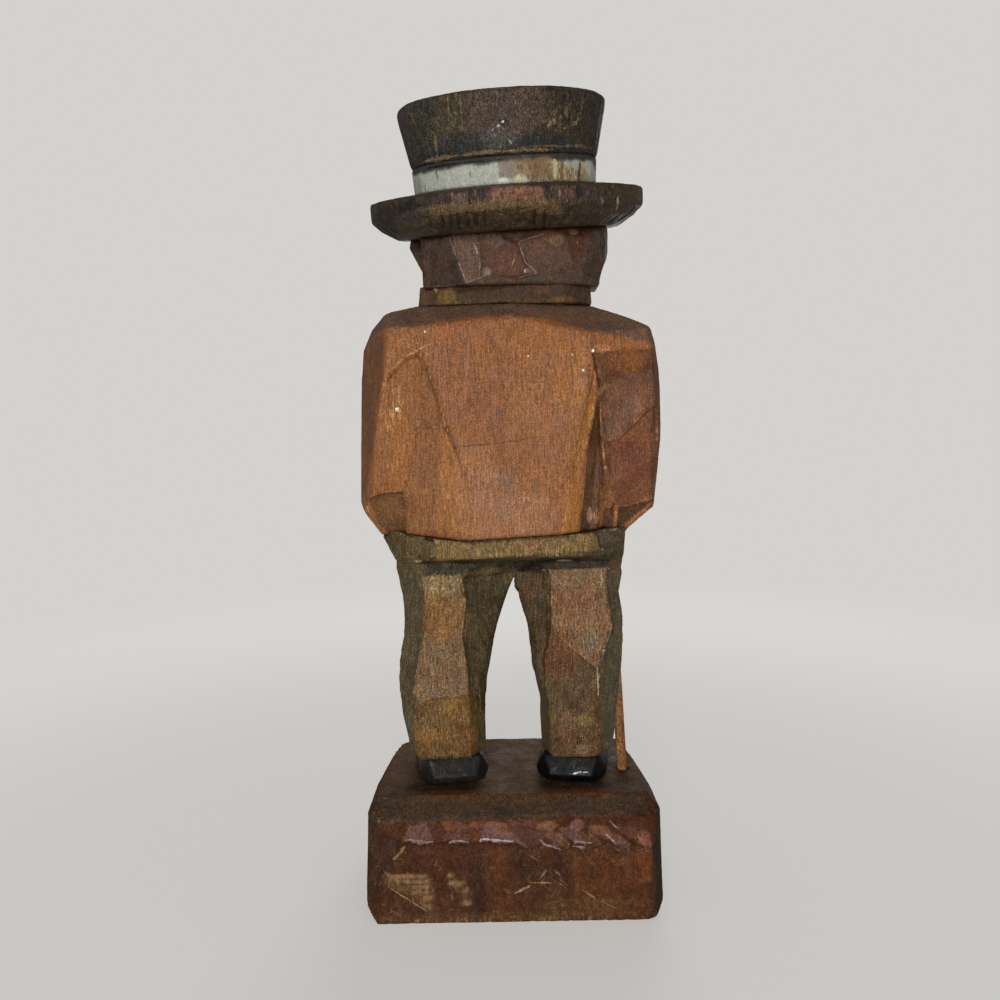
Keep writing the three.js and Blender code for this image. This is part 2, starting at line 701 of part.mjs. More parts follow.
// Where the hat sits: its own frame, tilted back and a little to the left.
const hatFrame = new THREE.Matrix4()
  .makeTranslation(-hatAside, hatBehind, brimBottom)
  .multiply(new THREE.Matrix4().makeRotationY(THREE.MathUtils.degToRad(hatTiltSide)))
  .multiply(new THREE.Matrix4().makeRotationX(THREE.MathUtils.degToRad(-hatTiltBack)));
const hatAxis = new THREE.Vector3(0, 0, 1).transformDirection(hatFrame).toArray();
const underHat = new THREE.Vector3(0, 0, -glueLine).applyMatrix4(hatFrame).toArray();
const inHat = (solid) => solid.transform(hatFrame.elements);
const hatPeg = (radius, top, depth) => rod(radius, [0, 0, -depth], [0, 0, top]);

// The head: a block with the brow, nose, lips and chin sawn from the side, then the cheeks cut.
function carveHead() {
  const bottom = neck + glueLine;
  const top = brimBottom + hatSeat;
  const skull = skullHalf;
  const face = [
    [-faceFront * 0.7, bottom], [-faceFront * 0.95, neck + 0.9], [-faceFront, neck + 2.1],
    [-faceFront * 0.94, neck + 3.4], [-faceFront * 0.96, neck + 12.6],
    [-faceFront * 1.04, neck + 13.6], [-faceFront * 0.96, neck + 15.4], [-faceFront * 0.96, top],
  ];
  const half = [
    [skull * 0.8, bottom], [skull * 0.96, neck + 3], [skull, neck + 6.5], [skull, top],
  ];
  const blank = sawnBlank(
    [...half, ...mirrored(half).reverse()],
    [...face, [skullBack, top], [skullBack, bottom]],
  );
  const socket = prism("side", [
    [-4 * faceFront, neck + 13.3], [-faceFront * 0.88, neck + 12.9],
    [-faceFront * 0.96, neck + 10.4], [-4 * faceFront, neck + 10.4],
  ], 1.5, skull);
  const carved = carve(blank.subtract(socket).subtract(socket.mirror([1, 0, 0])), [
    { at: [skull * 0.42, -faceFront, neck + 8], facing: [0.42, -1, 0] },
    { at: [-skull * 0.42, -faceFront, neck + 8], facing: [-0.42, -1, 0] },
    { at: [skull * 0.8, -faceFront * 0.72, neck + 8], facing: [1, -0.8, 0] },
    { at: [-skull * 0.8, -faceFront * 0.72, neck + 8], facing: [-1, -0.8, 0] },
    { at: [skull * 0.5, -faceFront * 0.9, neck + 2], facing: [0.5, -0.8, -0.5] },
    { at: [-skull * 0.5, -faceFront * 0.9, neck + 2], facing: [-0.5, -0.8, -0.5] },
    { at: underHat, facing: hatAxis },
  ]);
  const eye = new THREE.SphereGeometry(1.4, 12, 8);
  eye.scale(1.25, 1, 0.8);
  eye.translate(skull * 0.36, -faceFront * 0.84, neck + 11.8);
  const eyeball = solidFrom(eye);
  const nose = loft([
    [2.7, 0.4, 7.1], [2.9, 0.9, 8.2], [1.3, 0.2, 12.6],
  ].map(([wing, ridge, height], i) => {
    const front = -faceFront - [noseReach * 0.7, noseReach, 0.3][i];
    const z = neck + height;
    const root = -faceFront * 0.8;
    return [[wing, root, z], [-wing, root, z], [-ridge - 0.2, front, z], [ridge + 0.2, front, z]];
  }));
  const lips = sawnBlank(
    [
      [-3.8, neck + 5], [-1.5, neck + 4], [1.5, neck + 4],
      [3.8, neck + 5], [1.3, neck + 6.1], [-1.3, neck + 6.1],
    ],
    [
      [0, neck + 4], [-faceFront * 0.97, neck + 4], [-faceFront * 1.02, neck + 4.5],
      [-faceFront * 0.96, neck + 5], [-faceFront * 1.03, neck + 5.5],
      [-faceFront * 0.97, neck + 6.1], [0, neck + 6.1],
    ],
  );
  const features = [eyeball, eyeball.mirror([1, 0, 0]), nose, lips];
  return features.reduce((all, feature) => all.add(feature), carved);
}

// The coat's collar stands round the jaw and is open at the front.
function carveCollar(head) {
  const bottom = neck + glueLine;
  const top = neck + hairLine - glueLine;
  const blank = sawnBlank(
    [
      [-collarHalf, bottom], [collarHalf, bottom], [collarHalf - 0.3, top],
      [0.3 - collarHalf, top],
    ],
    [
      [-faceFront * 0.8, bottom], [collarBack, bottom], [collarBack - 0.3, top],
      [-faceFront * 0.3, top], [-faceFront * 0.84, bottom + 1],
    ],
  );
  const shaped = carve(blank, [
    { at: [collarHalf * 0.9, collarBack, neck], facing: [0.75, 0.66, 0.1] },
    { at: [-collarHalf * 0.84, collarBack, neck], facing: [-0.66, 0.75, 0.1] },
  ]);
  return fitted(shaped, [head, prism("front", shirtOutline(2), -faceFront * 2, 0)]);
}

// The hair wraps the back and sides of the head, from a ledge above the nape up to the brim.
function carveHair(head) {
  const ledge = neck + hairLine;
  const lockTop = ledge + 7; // where the facets of the back hair begin
  const side = [
    [-3.4, brimBottom + hatSeat], [-3.4, ledge + 6], [1.4, ledge],
    [hairBack, ledge + 0.2], [hairBack, brimBottom + hatSeat],
  ];
  const high = brimBottom + hatSeat;
  const outline = [
    [-hairHalf - 0.6, ledge - 0.6], [hairHalf - 1.5, ledge - 0.6], [hairHalf - 1.4, ledge + 5],
    [hairHalf - 0.6, high], [-hairHalf - 1, high], [-hairHalf - 2.6, ledge + 8],
    [-hairHalf - 2.8, ledge + 5.6], [-hairHalf - 1.4, ledge + 2.4],
  ];
  const blank = carve(sawnBlank(outline, side), [
    { at: underHat, facing: hatAxis },
    { at: [hairHalf * 0.87, hairBack, ledge], facing: [0.84, 0.54, 0.05] },
    { at: [-hairHalf * 0.87, hairBack, ledge + 4], facing: [-0.6, 0.8, 0] },
    { at: [-hairHalf - 1.6, hairBack * 0.5, ledge + 4], facing: [-0.95, 0.3, -0.1] },
    { at: [hairHalf * 0.6, hairBack - 0.7, lockTop], facing: [0.5, 1, -0.1] },
    { at: [hairHalf * 0.3, hairBack, lockTop], facing: [0.16, 1, -0.2] },
    { at: [hairHalf * 0.14, hairBack, lockTop], facing: [0, 1, -0.24] },
    { at: [-hairHalf * 0.2, hairBack, lockTop], facing: [-0.15, 1, -0.16] },
    { at: [hairHalf * 0.1, hairBack, lockTop], facing: [0.1, 0.95, 0.4] },
    { at: [-hairHalf * 0.5, hairBack - 0.4, lockTop], facing: [-0.3, 0.9, 0.4] },
  ]);
  return fitted(blank, [head]);
}

// An ear: a flat block on the side of the head, hollowed from the front by one cut.
function carveEar(side) {
  const x = skullHalf;
  const front = [
    [x, neck + 7.4], [x + 2, neck + 7.8], [x + earReach + 2.2, neck + 11.6],
    [x + earReach + 2, neck + 13], [x, neck + 14],
  ];
  const sideOutline = [
    [-5, neck + 9], [-4.4, neck + 7.4], [-2.4, neck + 7.8], [-0.6, neck + 10.4],
    [-0.8, neck + 12.8], [-2.6, neck + 14], [-4.6, neck + 13.6],
  ];
  return carve(sawnBlank(side > 0 ? front : mirrored(front), sideOutline), [
    { at: [side * (x + 1.6), -4.4, neck + 10.8], facing: [side * 0.5, -0.86, 0] },
    { at: underHat, facing: hatAxis },
  ]);
}

// The hat's heights in its own frame, from the underside of the brim up.
const brimTop = brimBevelRise + brimThickness;
const bandFoot = brimTop + brimDish + glueLine;
const crownBottom = bandFoot + bandHeight + glueLine;

function carveBrim() {
  const bandEdge = bandHalf + glueLine;
  const brim = turned([
    [0, 0], [brimHalf - brimBevel, 0], [brimHalf - brimBevel * 0.36, brimBevelRise * 0.5],
    [brimHalf, brimBevelRise], [brimHalf, brimTop], [bandEdge, brimTop + brimDish],
    [0, brimTop + brimDish],
  ], hatDepthRatio);
  return brim.subtract(hatPeg(hatPegRadius + pegClearance, crownBottom, hatPegLength));
}

function carveBand() {
  const band = turned([
    [0, bandFoot], [bandHalf, bandFoot], [bandHalf + 0.2, bandFoot + bandHeight],
    [0, bandFoot + bandHeight],
  ], hatDepthRatio);
  return band.subtract(hatPeg(hatPegRadius + pegClearance, crownBottom, hatPegLength));
}

// The crown, flared towards its top, with the peg that holds the whole hat to the head.
function carveCrown() {
  const top = crownBottom + crownHeight;
  const crown = turned([
    [0, crownBottom], [crownFoot - 0.3, crownBottom], [crownFoot, crownBottom + 0.7],
    [crownTop, top - 1.6], [crownTop + 0.1, top - 0.7], [crownTop - 0.6, top - 0.1], [0, top],
  ], hatDepthRatio);
  return crown.add(hatPeg(hatPegRadius, crownBottom + 1, hatPegLength));
}

// Assembly
const sides = [["left", 1], ["right", -1]];
const coatNeckBore = rod(
  neckPegRadius + pegClearance,
  [0, -0.5, neck - neckPegLength - boreBottom],
  [0, -0.5, neck + 1],
);
const legs = {
  left: carveLeg(1, [
    [0, 0.91, 0.25, 0.81, 0.38, 0.84, -0.8],
    [0.19, 0.975, 0.255, 0.83, 0.42, 0.98, -0.92],
    [0.4, 1, 0.23, 0.84, 0.4, 1.04, -0.97],
    [0.66, 0.93, 0.13, 0.78, 0.38, 0.92, -0.95],
    [0.84, 0.955, 0.02, 0.74, 0.37, 0.87, -1.03],
    [1, 1, -0.1, 0.77, 0.42, 0.98, -1.12],
  ], [
    [0.66, 0.98, 0.42, 0.1, 1, 0.07],
    [0.72, 0.98, 0.34, 0.3, 1, -0.03],
    [0.6, 0.97, 0.26, -0.1, 1, -0.13],
    [0.6, -0.95, 0.42, 0.2, -1, 0.04],
    [0.6, -0.95, 0.42, -0.2, -1, -0.06],
  ]),
  right: carveLeg(-1, [
    [0, 0.89, 0.28, 0.71, 0.39, 0.86, -0.8],
    [0.25, 0.94, 0.275, 0.79, 0.35, 1.02, -0.92],
    [0.47, 0.975, 0.205, 0.8, 0.3, 1.08, -0.97],
    [0.65, 1.005, 0.175, 0.88, 0.34, 1.02, -0.95],
    [0.82, 0.955, 0.095, 0.82, 0.33, 0.93, -1.03],
    [1, 1.01, -0.1, 0.82, 0.33, 0.96, -1.12],
  ], [
    [-0.56, 1, 0.57, -0.07, 1, 0.09],
    [-0.56, 1, 0.57, 0.05, 1, -0.07],
    [-0.7, 0.96, 0.3, -0.24, 1, -0.1],
    [-0.45, 0.96, 0.26, 0.22, 1, -0.08],
    [-0.6, -0.95, 0.5, -0.2, -1, 0.05],
    [-0.6, -0.95, 0.5, 0.2, -1, -0.05],
  ]),
};

const caneBore = rod(
  caneRadius + pegClearance,
  alongCane(-caneSocket - boreBottom).toArray(),
  alongCane(2).toArray(),
);
const base = sides.reduce(
  (block, [, side]) =>
    block.subtract(legPeg(side, legPegRadius + pegClearance, legPegLength + boreBottom)),
  carveBase().subtract(caneBore),
);
add("base", base, basePaint);
for (const [name, side] of sides) {
  const bore = legPeg(side, legPegRadius + pegClearance, 1);
  add(`${name}_shoe`, carveShoe(side).subtract(bore), shoePaint);
  add(`${name}_trouser_leg`, withoutChips(legs[name]), trouserPaint);
}

const coat = carveCoat();
const leftSleeve = carveLeftSleeve();
const leftHand = fitted(carveLeftHand(), [leftSleeve, coat]);
const rightSleeve = carveRightSleeve();
const seat = fitted(carveSeat(), [leftHand, leftSleeve, rightSleeve]);
add("trouser_seat", seat, trouserPaint);
add("coat", coat.subtract(coatNeckBore), coatPaint);
add("left_lapel", carveLapel(1), coatPaint);
add("right_lapel", carveLapel(-1), coatPaint);
add("left_sleeve", leftSleeve, coatPaint);
add("right_sleeve", rightSleeve, coatPaint);
add("left_hand", leftHand, skinPaint);
add("right_hand", fitted(carveRightHand(), [rightSleeve, coat, seat]), skinPaint);
add("cane", carveCane(), canePaint);

const waistcoat = withoutChips(carveWaistcoat());
add("waistcoat", waistcoat, waistcoatPaint);
for (let i = 0; i < buttonCount; i++) {
  add(`waistcoat_button_${i + 1}`, fitted(carveButton(i), [waistcoat]), linenPaint);
}
const shirt = carveShirt();
add("shirt_front", shirt, linenPaint);
add("bow_tie", fitted(carveTie(), [shirt, waistcoat, coat]), hatPaint);

const head = carveHead();
const headPegs = rod(neckPegRadius, [0, -0.5, neck - neckPegLength], [0, -0.5, neck + neckPegRadius / 2]);
const hatBore = inHat(hatPeg(hatPegRadius + pegClearance, 1, hatPegLength + boreBottom));
const hair = carveHair(head);
add("coat_collar", carveCollar(head), coatPaint);
add("head", withoutChips(head.add(headPegs).subtract(hatBore)), skinPaint);
add("hair", hair, hairPaint);
add("left_ear", fitted(carveEar(1), [head, hair]), skinPaint);
add("right_ear", fitted(carveEar(-1), [head, hair]), skinPaint);
add("hat_brim", inHat(carveBrim()), hatPaint);
add("hat_band", inHat(carveBand()), bandPaint);
add("hat_crown", inHat(carveCrown()), hatPaint);

export default figure;
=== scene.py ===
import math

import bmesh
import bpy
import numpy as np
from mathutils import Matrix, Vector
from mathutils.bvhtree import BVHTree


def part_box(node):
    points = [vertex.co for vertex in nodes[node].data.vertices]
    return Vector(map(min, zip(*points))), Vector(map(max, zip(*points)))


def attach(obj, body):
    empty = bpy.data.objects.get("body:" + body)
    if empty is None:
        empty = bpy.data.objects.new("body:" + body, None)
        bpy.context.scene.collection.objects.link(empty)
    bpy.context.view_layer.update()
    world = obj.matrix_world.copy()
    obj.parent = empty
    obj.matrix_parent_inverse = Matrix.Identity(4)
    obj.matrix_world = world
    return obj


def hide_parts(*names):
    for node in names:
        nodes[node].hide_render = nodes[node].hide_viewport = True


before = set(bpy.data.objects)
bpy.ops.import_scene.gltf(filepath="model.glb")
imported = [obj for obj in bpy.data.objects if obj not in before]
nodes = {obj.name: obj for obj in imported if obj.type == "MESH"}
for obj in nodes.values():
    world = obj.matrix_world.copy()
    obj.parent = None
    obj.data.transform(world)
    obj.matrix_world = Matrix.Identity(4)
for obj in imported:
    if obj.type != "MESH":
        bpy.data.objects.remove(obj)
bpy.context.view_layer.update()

# A carved and painted wooden villager, seen from behind: an old gentleman in a tall flared hat, a
# long coat and baggy trousers, on a block base.
#
# Every piece starts from its CAD solid. It is skinned finely, a knife and a gouge cut marks into
# it, its ridges are worn, and then it is painted: a stain is laid on the mesh, facet by facet,
# with painted shade and painted highlights in places, and the material adds grain, rubbed ridges,
# flaked paint, dirt and painted shade in the hollows, pale specks of painted highlight and
# scratches.
#
# Sizes in the helpers and the tables are millimetres. Blender's own units are metres. x runs to the
# figure's left, y to its back and z up. Left and right are the figure's own, and seen from behind
# they are the view's left and right too.

MM = 0.001


def tone(red, green, blue):
    """A paint tone, given as it looks on a screen from 0 to 255, in the linear values of a node."""
    def linear(value):
        share = value / 255
        return share / 12.92 if share <= 0.04045 else ((share + 0.055) / 1.055) ** 2.4
    return (linear(red), linear(green), linear(blue), 1.0)


# Noise on arrays of points

LATTICE_PRIMES = np.array([73856093, 19349663, 83492791])
SEED_STEP = 97531
OCTAVE_SEED_STEP = 17
HASH_FACTORS = (0x45D9F3B, 0x119DE1F3)
HASH_SHIFT = 16
BITS_32 = 0xFFFFFFFF
BITS_24 = 0xFFFFFF
HALF_OF_24_BITS = 0x7FFFFF


def value_noise(points, seed):
    """Smooth random values from -1 to 1, with one cell of the lattice to a unit."""
    cell = np.floor(points).astype(np.int64)
    part = points - cell
    part = part * part * (3 - 2 * part)
    total = np.zeros(len(points))
    for corner in range(8):
        step = np.array([corner & 1, corner >> 1 & 1, corner >> 2 & 1])
        key = ((cell + step) * LATTICE_PRIMES).sum(axis=1) + seed * SEED_STEP
        for factor in HASH_FACTORS:
            key = key & BITS_32
            key = (key ^ (key >> HASH_SHIFT)) * factor
        value = (key & BITS_24) / HALF_OF_24_BITS - 1
        total += value * np.where(step, part, 1 - part).prod(axis=1)
    return total


def lumps(points, size, seed, octaves=2):
    """Noise from -1 to 1 whose lumps have the given size, each octave half of the last."""
    scaled = points / np.asarray(size, dtype=float)
    total, weight = np.zeros(len(points)), 0.0
    for octave in range(octaves):
        share = 0.5 ** octave
        total += value_noise(scaled * 2 ** octave, seed + octave * OCTAVE_SEED_STEP) * share
        weight += share
    return total / weight


def ramp(values, low, high):
    """0 below low, 1 above high, and a smooth climb between them."""
    share = np.clip((values - low) / (high - low), 0, 1)
    return share * share * (3 - 2 * share)


def unit(vector):
    """The vector at a length of one."""
    vector = np.asarray(vector, dtype=float)
    return vector / np.linalg.norm(vector)


# Nodes of shaders and of Geometry Nodes

def put(tree, kind, settings=None, **inputs):
    """Adds a node. An input is a value or another node's socket; _ in its name is a blank."""
    node = tree.nodes.new(kind)
    for key, value in (settings or {}).items():
        setattr(node, key, value)
    for key, value in inputs.items():
        name = key.replace("_", " ")
        numbered = name[0] == "i" and name[1:].isdigit()
        socket = node.inputs[int(name[1:])] if numbered else node.inputs[name]
        feed(tree, value, socket)
    return node


def feed(tree, value, socket):
    """Links another node's socket to an input, or sets the input to a value."""
    if isinstance(value, bpy.types.NodeSocket):
        tree.links.new(value, socket)
    else:
        socket.default_value = value


def maths(tree, operation, first, second=0.0, clamp=False):
    """One operation on numbers."""
    node = put(tree, "ShaderNodeMath", {"operation": operation, "use_clamp": clamp},
               i0=first, i1=second)
    return node.outputs[0]


def plus(tree, first, second, clamp=False):
    """The sum of two numbers."""
    return maths(tree, "ADD", first, second, clamp)


def minus(tree, first, second):
    """The first number less the second."""
    return maths(tree, "SUBTRACT", first, second)


def times(tree, first, second):
    """The product of two numbers."""
    return maths(tree, "MULTIPLY", first, second)


def hump(tree, share):
    """0 at both ends of a share from 0 to 1, and a quarter in its middle."""
    return times(tree, share, minus(tree, 1.0, share))


def vector_maths(tree, operation, first, second=(0, 0, 0), out="Vector"):
    """One operation on vectors."""
    node = put(tree, "ShaderNodeVectorMath", {"operation": operation}, i0=first, i1=second)
    return node.outputs[out]


def scaled(tree, vector, factor):
    """A vector or a colour times a number."""
    node = put(tree, "ShaderNodeVectorMath", {"operation": "SCALE"}, i0=vector, Scale=factor)
    return node.outputs[0]


def between(tree, value, low, high, start=0.0, end=1.0):
    """Maps a value from one range to another, smoothly and held at the ends."""
    node = put(tree, "ShaderNodeMapRange", {"interpolation_type": "SMOOTHSTEP"},
               Value=value, From_Min=low, From_Max=high, To_Min=start, To_Max=end)
    return node.outputs["Result"]


def mixed(tree, share, first, second, blend="MIX"):
    """Mixes two colours."""
    node = tree.nodes.new("ShaderNodeMix")
    node.data_type = "RGBA"
    node.blend_type = blend
    feed(tree, share, node.inputs[0])
    feed(tree, first, node.inputs[6])
    feed(tree, second, node.inputs[7])
    return node.outputs[2]


SOCKETS = {
    "vector": "NodeSocketVector", "value": "NodeSocketFloat", "count": "NodeSocketInt",
    "skin": "NodeSocketGeometry", "paint": "NodeSocketMaterial",
}


def new_tree(kind, name, inputs, outputs):
    """A tree with named sockets. Returns it with its inputs and its outputs."""
    tree = bpy.data.node_groups.new(name, kind)
    for socket, sort in inputs.items():
        tree.interface.new_socket(socket, in_out="INPUT", socket_type=SOCKETS[sort])
    for socket, sort in outputs.items():
        tree.interface.new_socket(socket, in_out="OUTPUT", socket_type=SOCKETS[sort])
    start = tree.nodes.new("NodeGroupInput")
    end = tree.nodes.new("NodeGroupOutput")
    return tree, start.outputs, end.inputs


# Geometry Nodes: the chisel strokes round the hat

LEAST_BITE = 0.15
STROKE_END_SPREAD = 1.2 * MM
STROKE_RUN_IN = 0.5 * MM
STROKE_RUN_OUT = 0.4 * MM
FACING_BLEND = 0.1


def chisel_ring_tree():
    """Strokes of a chisel side by side round a turned piece, each of its own depth."""
    tree, given, out = new_tree(
        "GeometryNodeTree", "chisel_ring",
        {"Skin": "skin", "Middle": "vector", "Side": "vector", "Back": "vector", "Axis": "vector",
         "Oval": "value", "Strokes": "value", "Depth": "value", "Inner": "value",
         "Outer": "value", "Facing from": "value", "Facing to": "value", "Seed": "value",
         "Paint": "paint"},
        {"Skin": "skin"})
    place = put(tree, "GeometryNodeInputPosition").outputs[0]
    normal = put(tree, "GeometryNodeInputNormal").outputs[0]
    away = vector_maths(tree, "SUBTRACT", place, given["Middle"])
    across = vector_maths(tree, "DOT_PRODUCT", away, given["Side"], "Value")
    behind = vector_maths(tree, "DOT_PRODUCT", away, given["Back"], "Value")
    behind = maths(tree, "DIVIDE", behind, given["Oval"])
    angle = maths(tree, "ARCTAN2", behind, across)
    turn = plus(tree, maths(tree, "DIVIDE", angle, 2 * math.pi), 0.5)
    stroke = times(tree, turn, given["Strokes"])
    index = maths(tree, "FLOOR", stroke)
    offset = minus(tree, times(tree, maths(tree, "FRACT", stroke), 2.0), 1.0)
    scallop = minus(tree, 1.0, times(tree, offset, offset))
    chance = put(tree, "ShaderNodeTexWhiteNoise", {"noise_dimensions": "1D"},
                 W=plus(tree, index, given["Seed"])).outputs["Value"]
    bite = between(tree, chance, LEAST_BITE, 1.0, LEAST_BITE, 1.0)
    flat = put(tree, "ShaderNodeCombineXYZ", X=across, Y=behind)
    radius = vector_maths(tree, "LENGTH", flat.outputs[0], out="Value")
    start = plus(tree, given["Inner"], times(tree, chance, STROKE_END_SPREAD))
    begun = between(tree, minus(tree, radius, start), 0.0, STROKE_RUN_IN)
    ended = between(tree, minus(tree, given["Outer"], radius), 0.0, STROKE_RUN_OUT)
    facing = vector_maths(tree, "DOT_PRODUCT", normal, given["Axis"], "Value")
    turned_to = between(tree, minus(tree, facing, given["Facing from"]), 0.0, FACING_BLEND)
    turned_off = between(tree, minus(tree, given["Facing to"], facing), 0.0, FACING_BLEND)
    amount = given["Depth"]
    for factor in (scallop, bite, begun, ended, turned_to, turned_off):
        amount = times(tree, amount, factor)
    push = scaled(tree, normal, times(tree, amount, -1.0))
    moved = put(tree, "GeometryNodeSetPosition", Geometry=given["Skin"], Offset=push)
    plain = put(tree, "GeometryNodeRealizeInstances", Geometry=moved.outputs[0])
    painted = put(tree, "GeometryNodeSetMaterial", Geometry=plain.outputs[0],
                  Material=given["Paint"])
    tree.links.new(painted.outputs[0], out["Skin"])
    return tree


# Geometry Nodes: the row of buttons

BUTTON_MESH = {"Vertices": 24, "Side_Segments": 3, "Fill_Segments": 7}
BUTTON_LUMPS = 900.0
BUTTON_GROOVE_AT = 0.66
BUTTON_GROOVE_WIDTH = 0.14
BUTTON_GROOVE_DEPTH = 0.3
BUTTON_DOME = 0.5
BUTTON_FRONT_BLEND = 0.1 * MM
BUTTON_UNEVENNESS = (0.25 * MM, 0.25 * MM, 0.0)


def button_row_tree():
    """A row of domed buttons with a dished rim, from the lowest to the highest."""
    tree, given, out = new_tree(
        "GeometryNodeTree", "button_row",
        {"Count": "count", "Lowest": "vector", "Highest": "vector", "Bulge": "value",
         "Radius": "value", "Thickness": "value", "Paint": "paint"},
        {"Buttons": "skin"})
    row = put(tree, "GeometryNodeMeshLine", {"mode": "END_POINTS"}, Count=given["Count"],
              Start_Location=given["Lowest"], Offset=given["Highest"])
    index = put(tree, "GeometryNodeInputIndex").outputs[0]
    share = maths(tree, "DIVIDE", index, minus(tree, given["Count"], 1.0))
    middle = times(tree, hump(tree, share), -4.0)
    lean = put(tree, "ShaderNodeCombineXYZ", Y=times(tree, middle, given["Bulge"]))
    bowed = put(tree, "GeometryNodeSetPosition", Geometry=row.outputs[0], Offset=lean.outputs[0])
    blank = put(tree, "GeometryNodeMeshCylinder", **BUTTON_MESH, Radius=given["Radius"],
                Depth=given["Thickness"])
    place = put(tree, "GeometryNodeInputPosition").outputs[0]
    parts = put(tree, "ShaderNodeSeparateXYZ", Vector=place).outputs
    flat = put(tree, "ShaderNodeCombineXYZ", X=parts["X"], Y=parts["Y"])
    radius = vector_maths(tree, "LENGTH", flat.outputs[0], out="Value")
    reach = maths(tree, "DIVIDE", radius, given["Radius"])
    dome = minus(tree, 1.0, times(tree, reach, reach))
    off_groove = maths(tree, "ABSOLUTE", minus(tree, reach, BUTTON_GROOVE_AT))
    groove = between(tree, off_groove, 0.0, BUTTON_GROOVE_WIDTH, BUTTON_GROOVE_DEPTH, 0.0)
    rise = minus(tree, times(tree, dome, BUTTON_DOME), groove)
    front = between(tree, parts["Z"], 0.0, BUTTON_FRONT_BLEND)
    rise = times(tree, times(tree, rise, given["Thickness"]), front)
    uneven = put(tree, "ShaderNodeTexNoise", Vector=place, Scale=BUTTON_LUMPS).outputs["Color"]
    uneven = vector_maths(tree, "SUBTRACT", uneven, (0.5, 0.5, 0.5))
    uneven = vector_maths(tree, "MULTIPLY", uneven, BUTTON_UNEVENNESS)
    lift = put(tree, "ShaderNodeCombineXYZ", Z=rise)
    shaped = put(tree, "GeometryNodeSetPosition", Geometry=blank.outputs[0],
                 Offset=vector_maths(tree, "ADD", lift.outputs[0], uneven))
    forward = put(tree, "GeometryNodeTransform", Geometry=shaped.outputs[0],
                  Rotation=(math.pi / 2, 0, 0))
    placed = put(tree, "GeometryNodeInstanceOnPoints", Points=bowed.outputs[0],
                 Instance=forward.outputs[0])
    plain = put(tree, "GeometryNodeRealizeInstances", Geometry=placed.outputs[0])
    smooth = put(tree, "GeometryNodeSetShadeSmooth", Geometry=plain.outputs[0])
    painted = put(tree, "GeometryNodeSetMaterial", Geometry=smooth.outputs[0],
                  Material=given["Paint"])
    tree.links.new(painted.outputs[0], out["Buttons"])
    return tree


# Geometry Nodes: using a tree

def add_nodes(blank, tree, values):
    """Puts a tree on a blank, with its named inputs set."""
    modifier = blank.modifiers.new(tree.name, "NODES")
    modifier.node_group = tree
    for item in tree.interface.items_tree:
        if item.in_out == "INPUT" and item.name in values:
            modifier[item.identifier] = values[item.name]


def plain_mesh(blank, name):
    """The mesh that a blank's modifiers make. The blank is thrown away."""
    graph = bpy.context.evaluated_depsgraph_get()
    mesh = bpy.data.meshes.new_from_object(blank.evaluated_get(graph))
    bpy.data.objects.remove(blank)
    mesh.name = name
    return mesh


# From a CAD solid to a fine skin

MERGE_DISTANCE = 1e-6
FLAT_ANGLE = math.radians(1)
SAME_WAY = 0.97


def solid_copy(names):
    """The named CAD solids in one bmesh, their loose triangles merged into clean facets."""
    solid = bmesh.new()
    for name in names:
        solid.from_mesh(nodes[name].data)
    bmesh.ops.remove_doubles(solid, verts=solid.verts, dist=MERGE_DISTANCE)
    bmesh.ops.dissolve_limit(
        solid, angle_limit=FLAT_ANGLE, verts=solid.verts, edges=solid.edges)
    return solid


def run_on(solid, facing, reach, where):
    """Draws the flat faces that face one way outwards, so that a piece runs into its neighbour."""
    way = Vector(facing).normalized()
    chosen = [
        face for face in solid.faces
        if face.normal.dot(way) > SAME_WAY and where(face.calc_center_median() / MM)]
    drawn = bmesh.ops.extrude_face_region(solid, geom=chosen)["geom"]
    moved = [part for part in drawn if isinstance(part, bmesh.types.BMVert)]
    bmesh.ops.translate(solid, verts=moved, vec=way * reach * MM)


def fine_skin(solid, name, voxel, marks):
    """A closed skin of even small faces round a solid, with any chisel marks of a tree."""
    rough_mesh = bpy.data.meshes.new(name + "_blank")
    solid.to_mesh(rough_mesh)
    blank = bpy.data.objects.new(name + "_blank", rough_mesh)
    bpy.context.scene.collection.objects.link(blank)
    modifier = blank.modifiers.new("skin", "REMESH")
    modifier.mode = "VOXEL"
    modifier.voxel_size = voxel * MM
    modifier.adaptivity = 0
    for tree, values in marks:
        add_nodes(blank, tree, values)
    return plain_mesh(blank, name)


def vertex_array(mesh, normals=False):
    """The places of a mesh's vertices, or the ways that they face."""
    values = np.empty(len(mesh.vertices) * 3)
    if normals:
        mesh.vertex_normals.foreach_get("vector", values)
    else:
        mesh.vertices.foreach_get("co", values)
    return values.reshape(-1, 3)


class Neighbours:
    """Which vertices of a skin are joined by an edge."""

    def __init__(self, mesh):
        ends = np.empty(len(mesh.edges) * 2, dtype=np.int32)
        mesh.edges.foreach_get("vertices", ends)
        ends = ends.reshape(-1, 2)
        both = np.concatenate([ends, ends[:, ::-1]])
        self.here, self.there = both[:, 0], both[:, 1]
        self.size = len(mesh.vertices)
        self.count = np.maximum(np.bincount(self.here, minlength=self.size), 1)

    def mean(self, values):
        """For each vertex, the mean of a value over its neighbours."""
        if values.ndim == 2:
            return np.stack([self.mean(column) for column in values.T], axis=1)
        return np.bincount(self.here, values[self.there], self.size) / self.count

    def bend(self, points, outward, spacing, rounds):
        """How sharply the skin bends: above 0 on ridges and below 0 in creases."""
        bent = ((points - self.mean(points)) * outward).sum(axis=1) / spacing
        for _ in range(rounds):
            bent = (bent + self.mean(bent)) / 2
        return bent


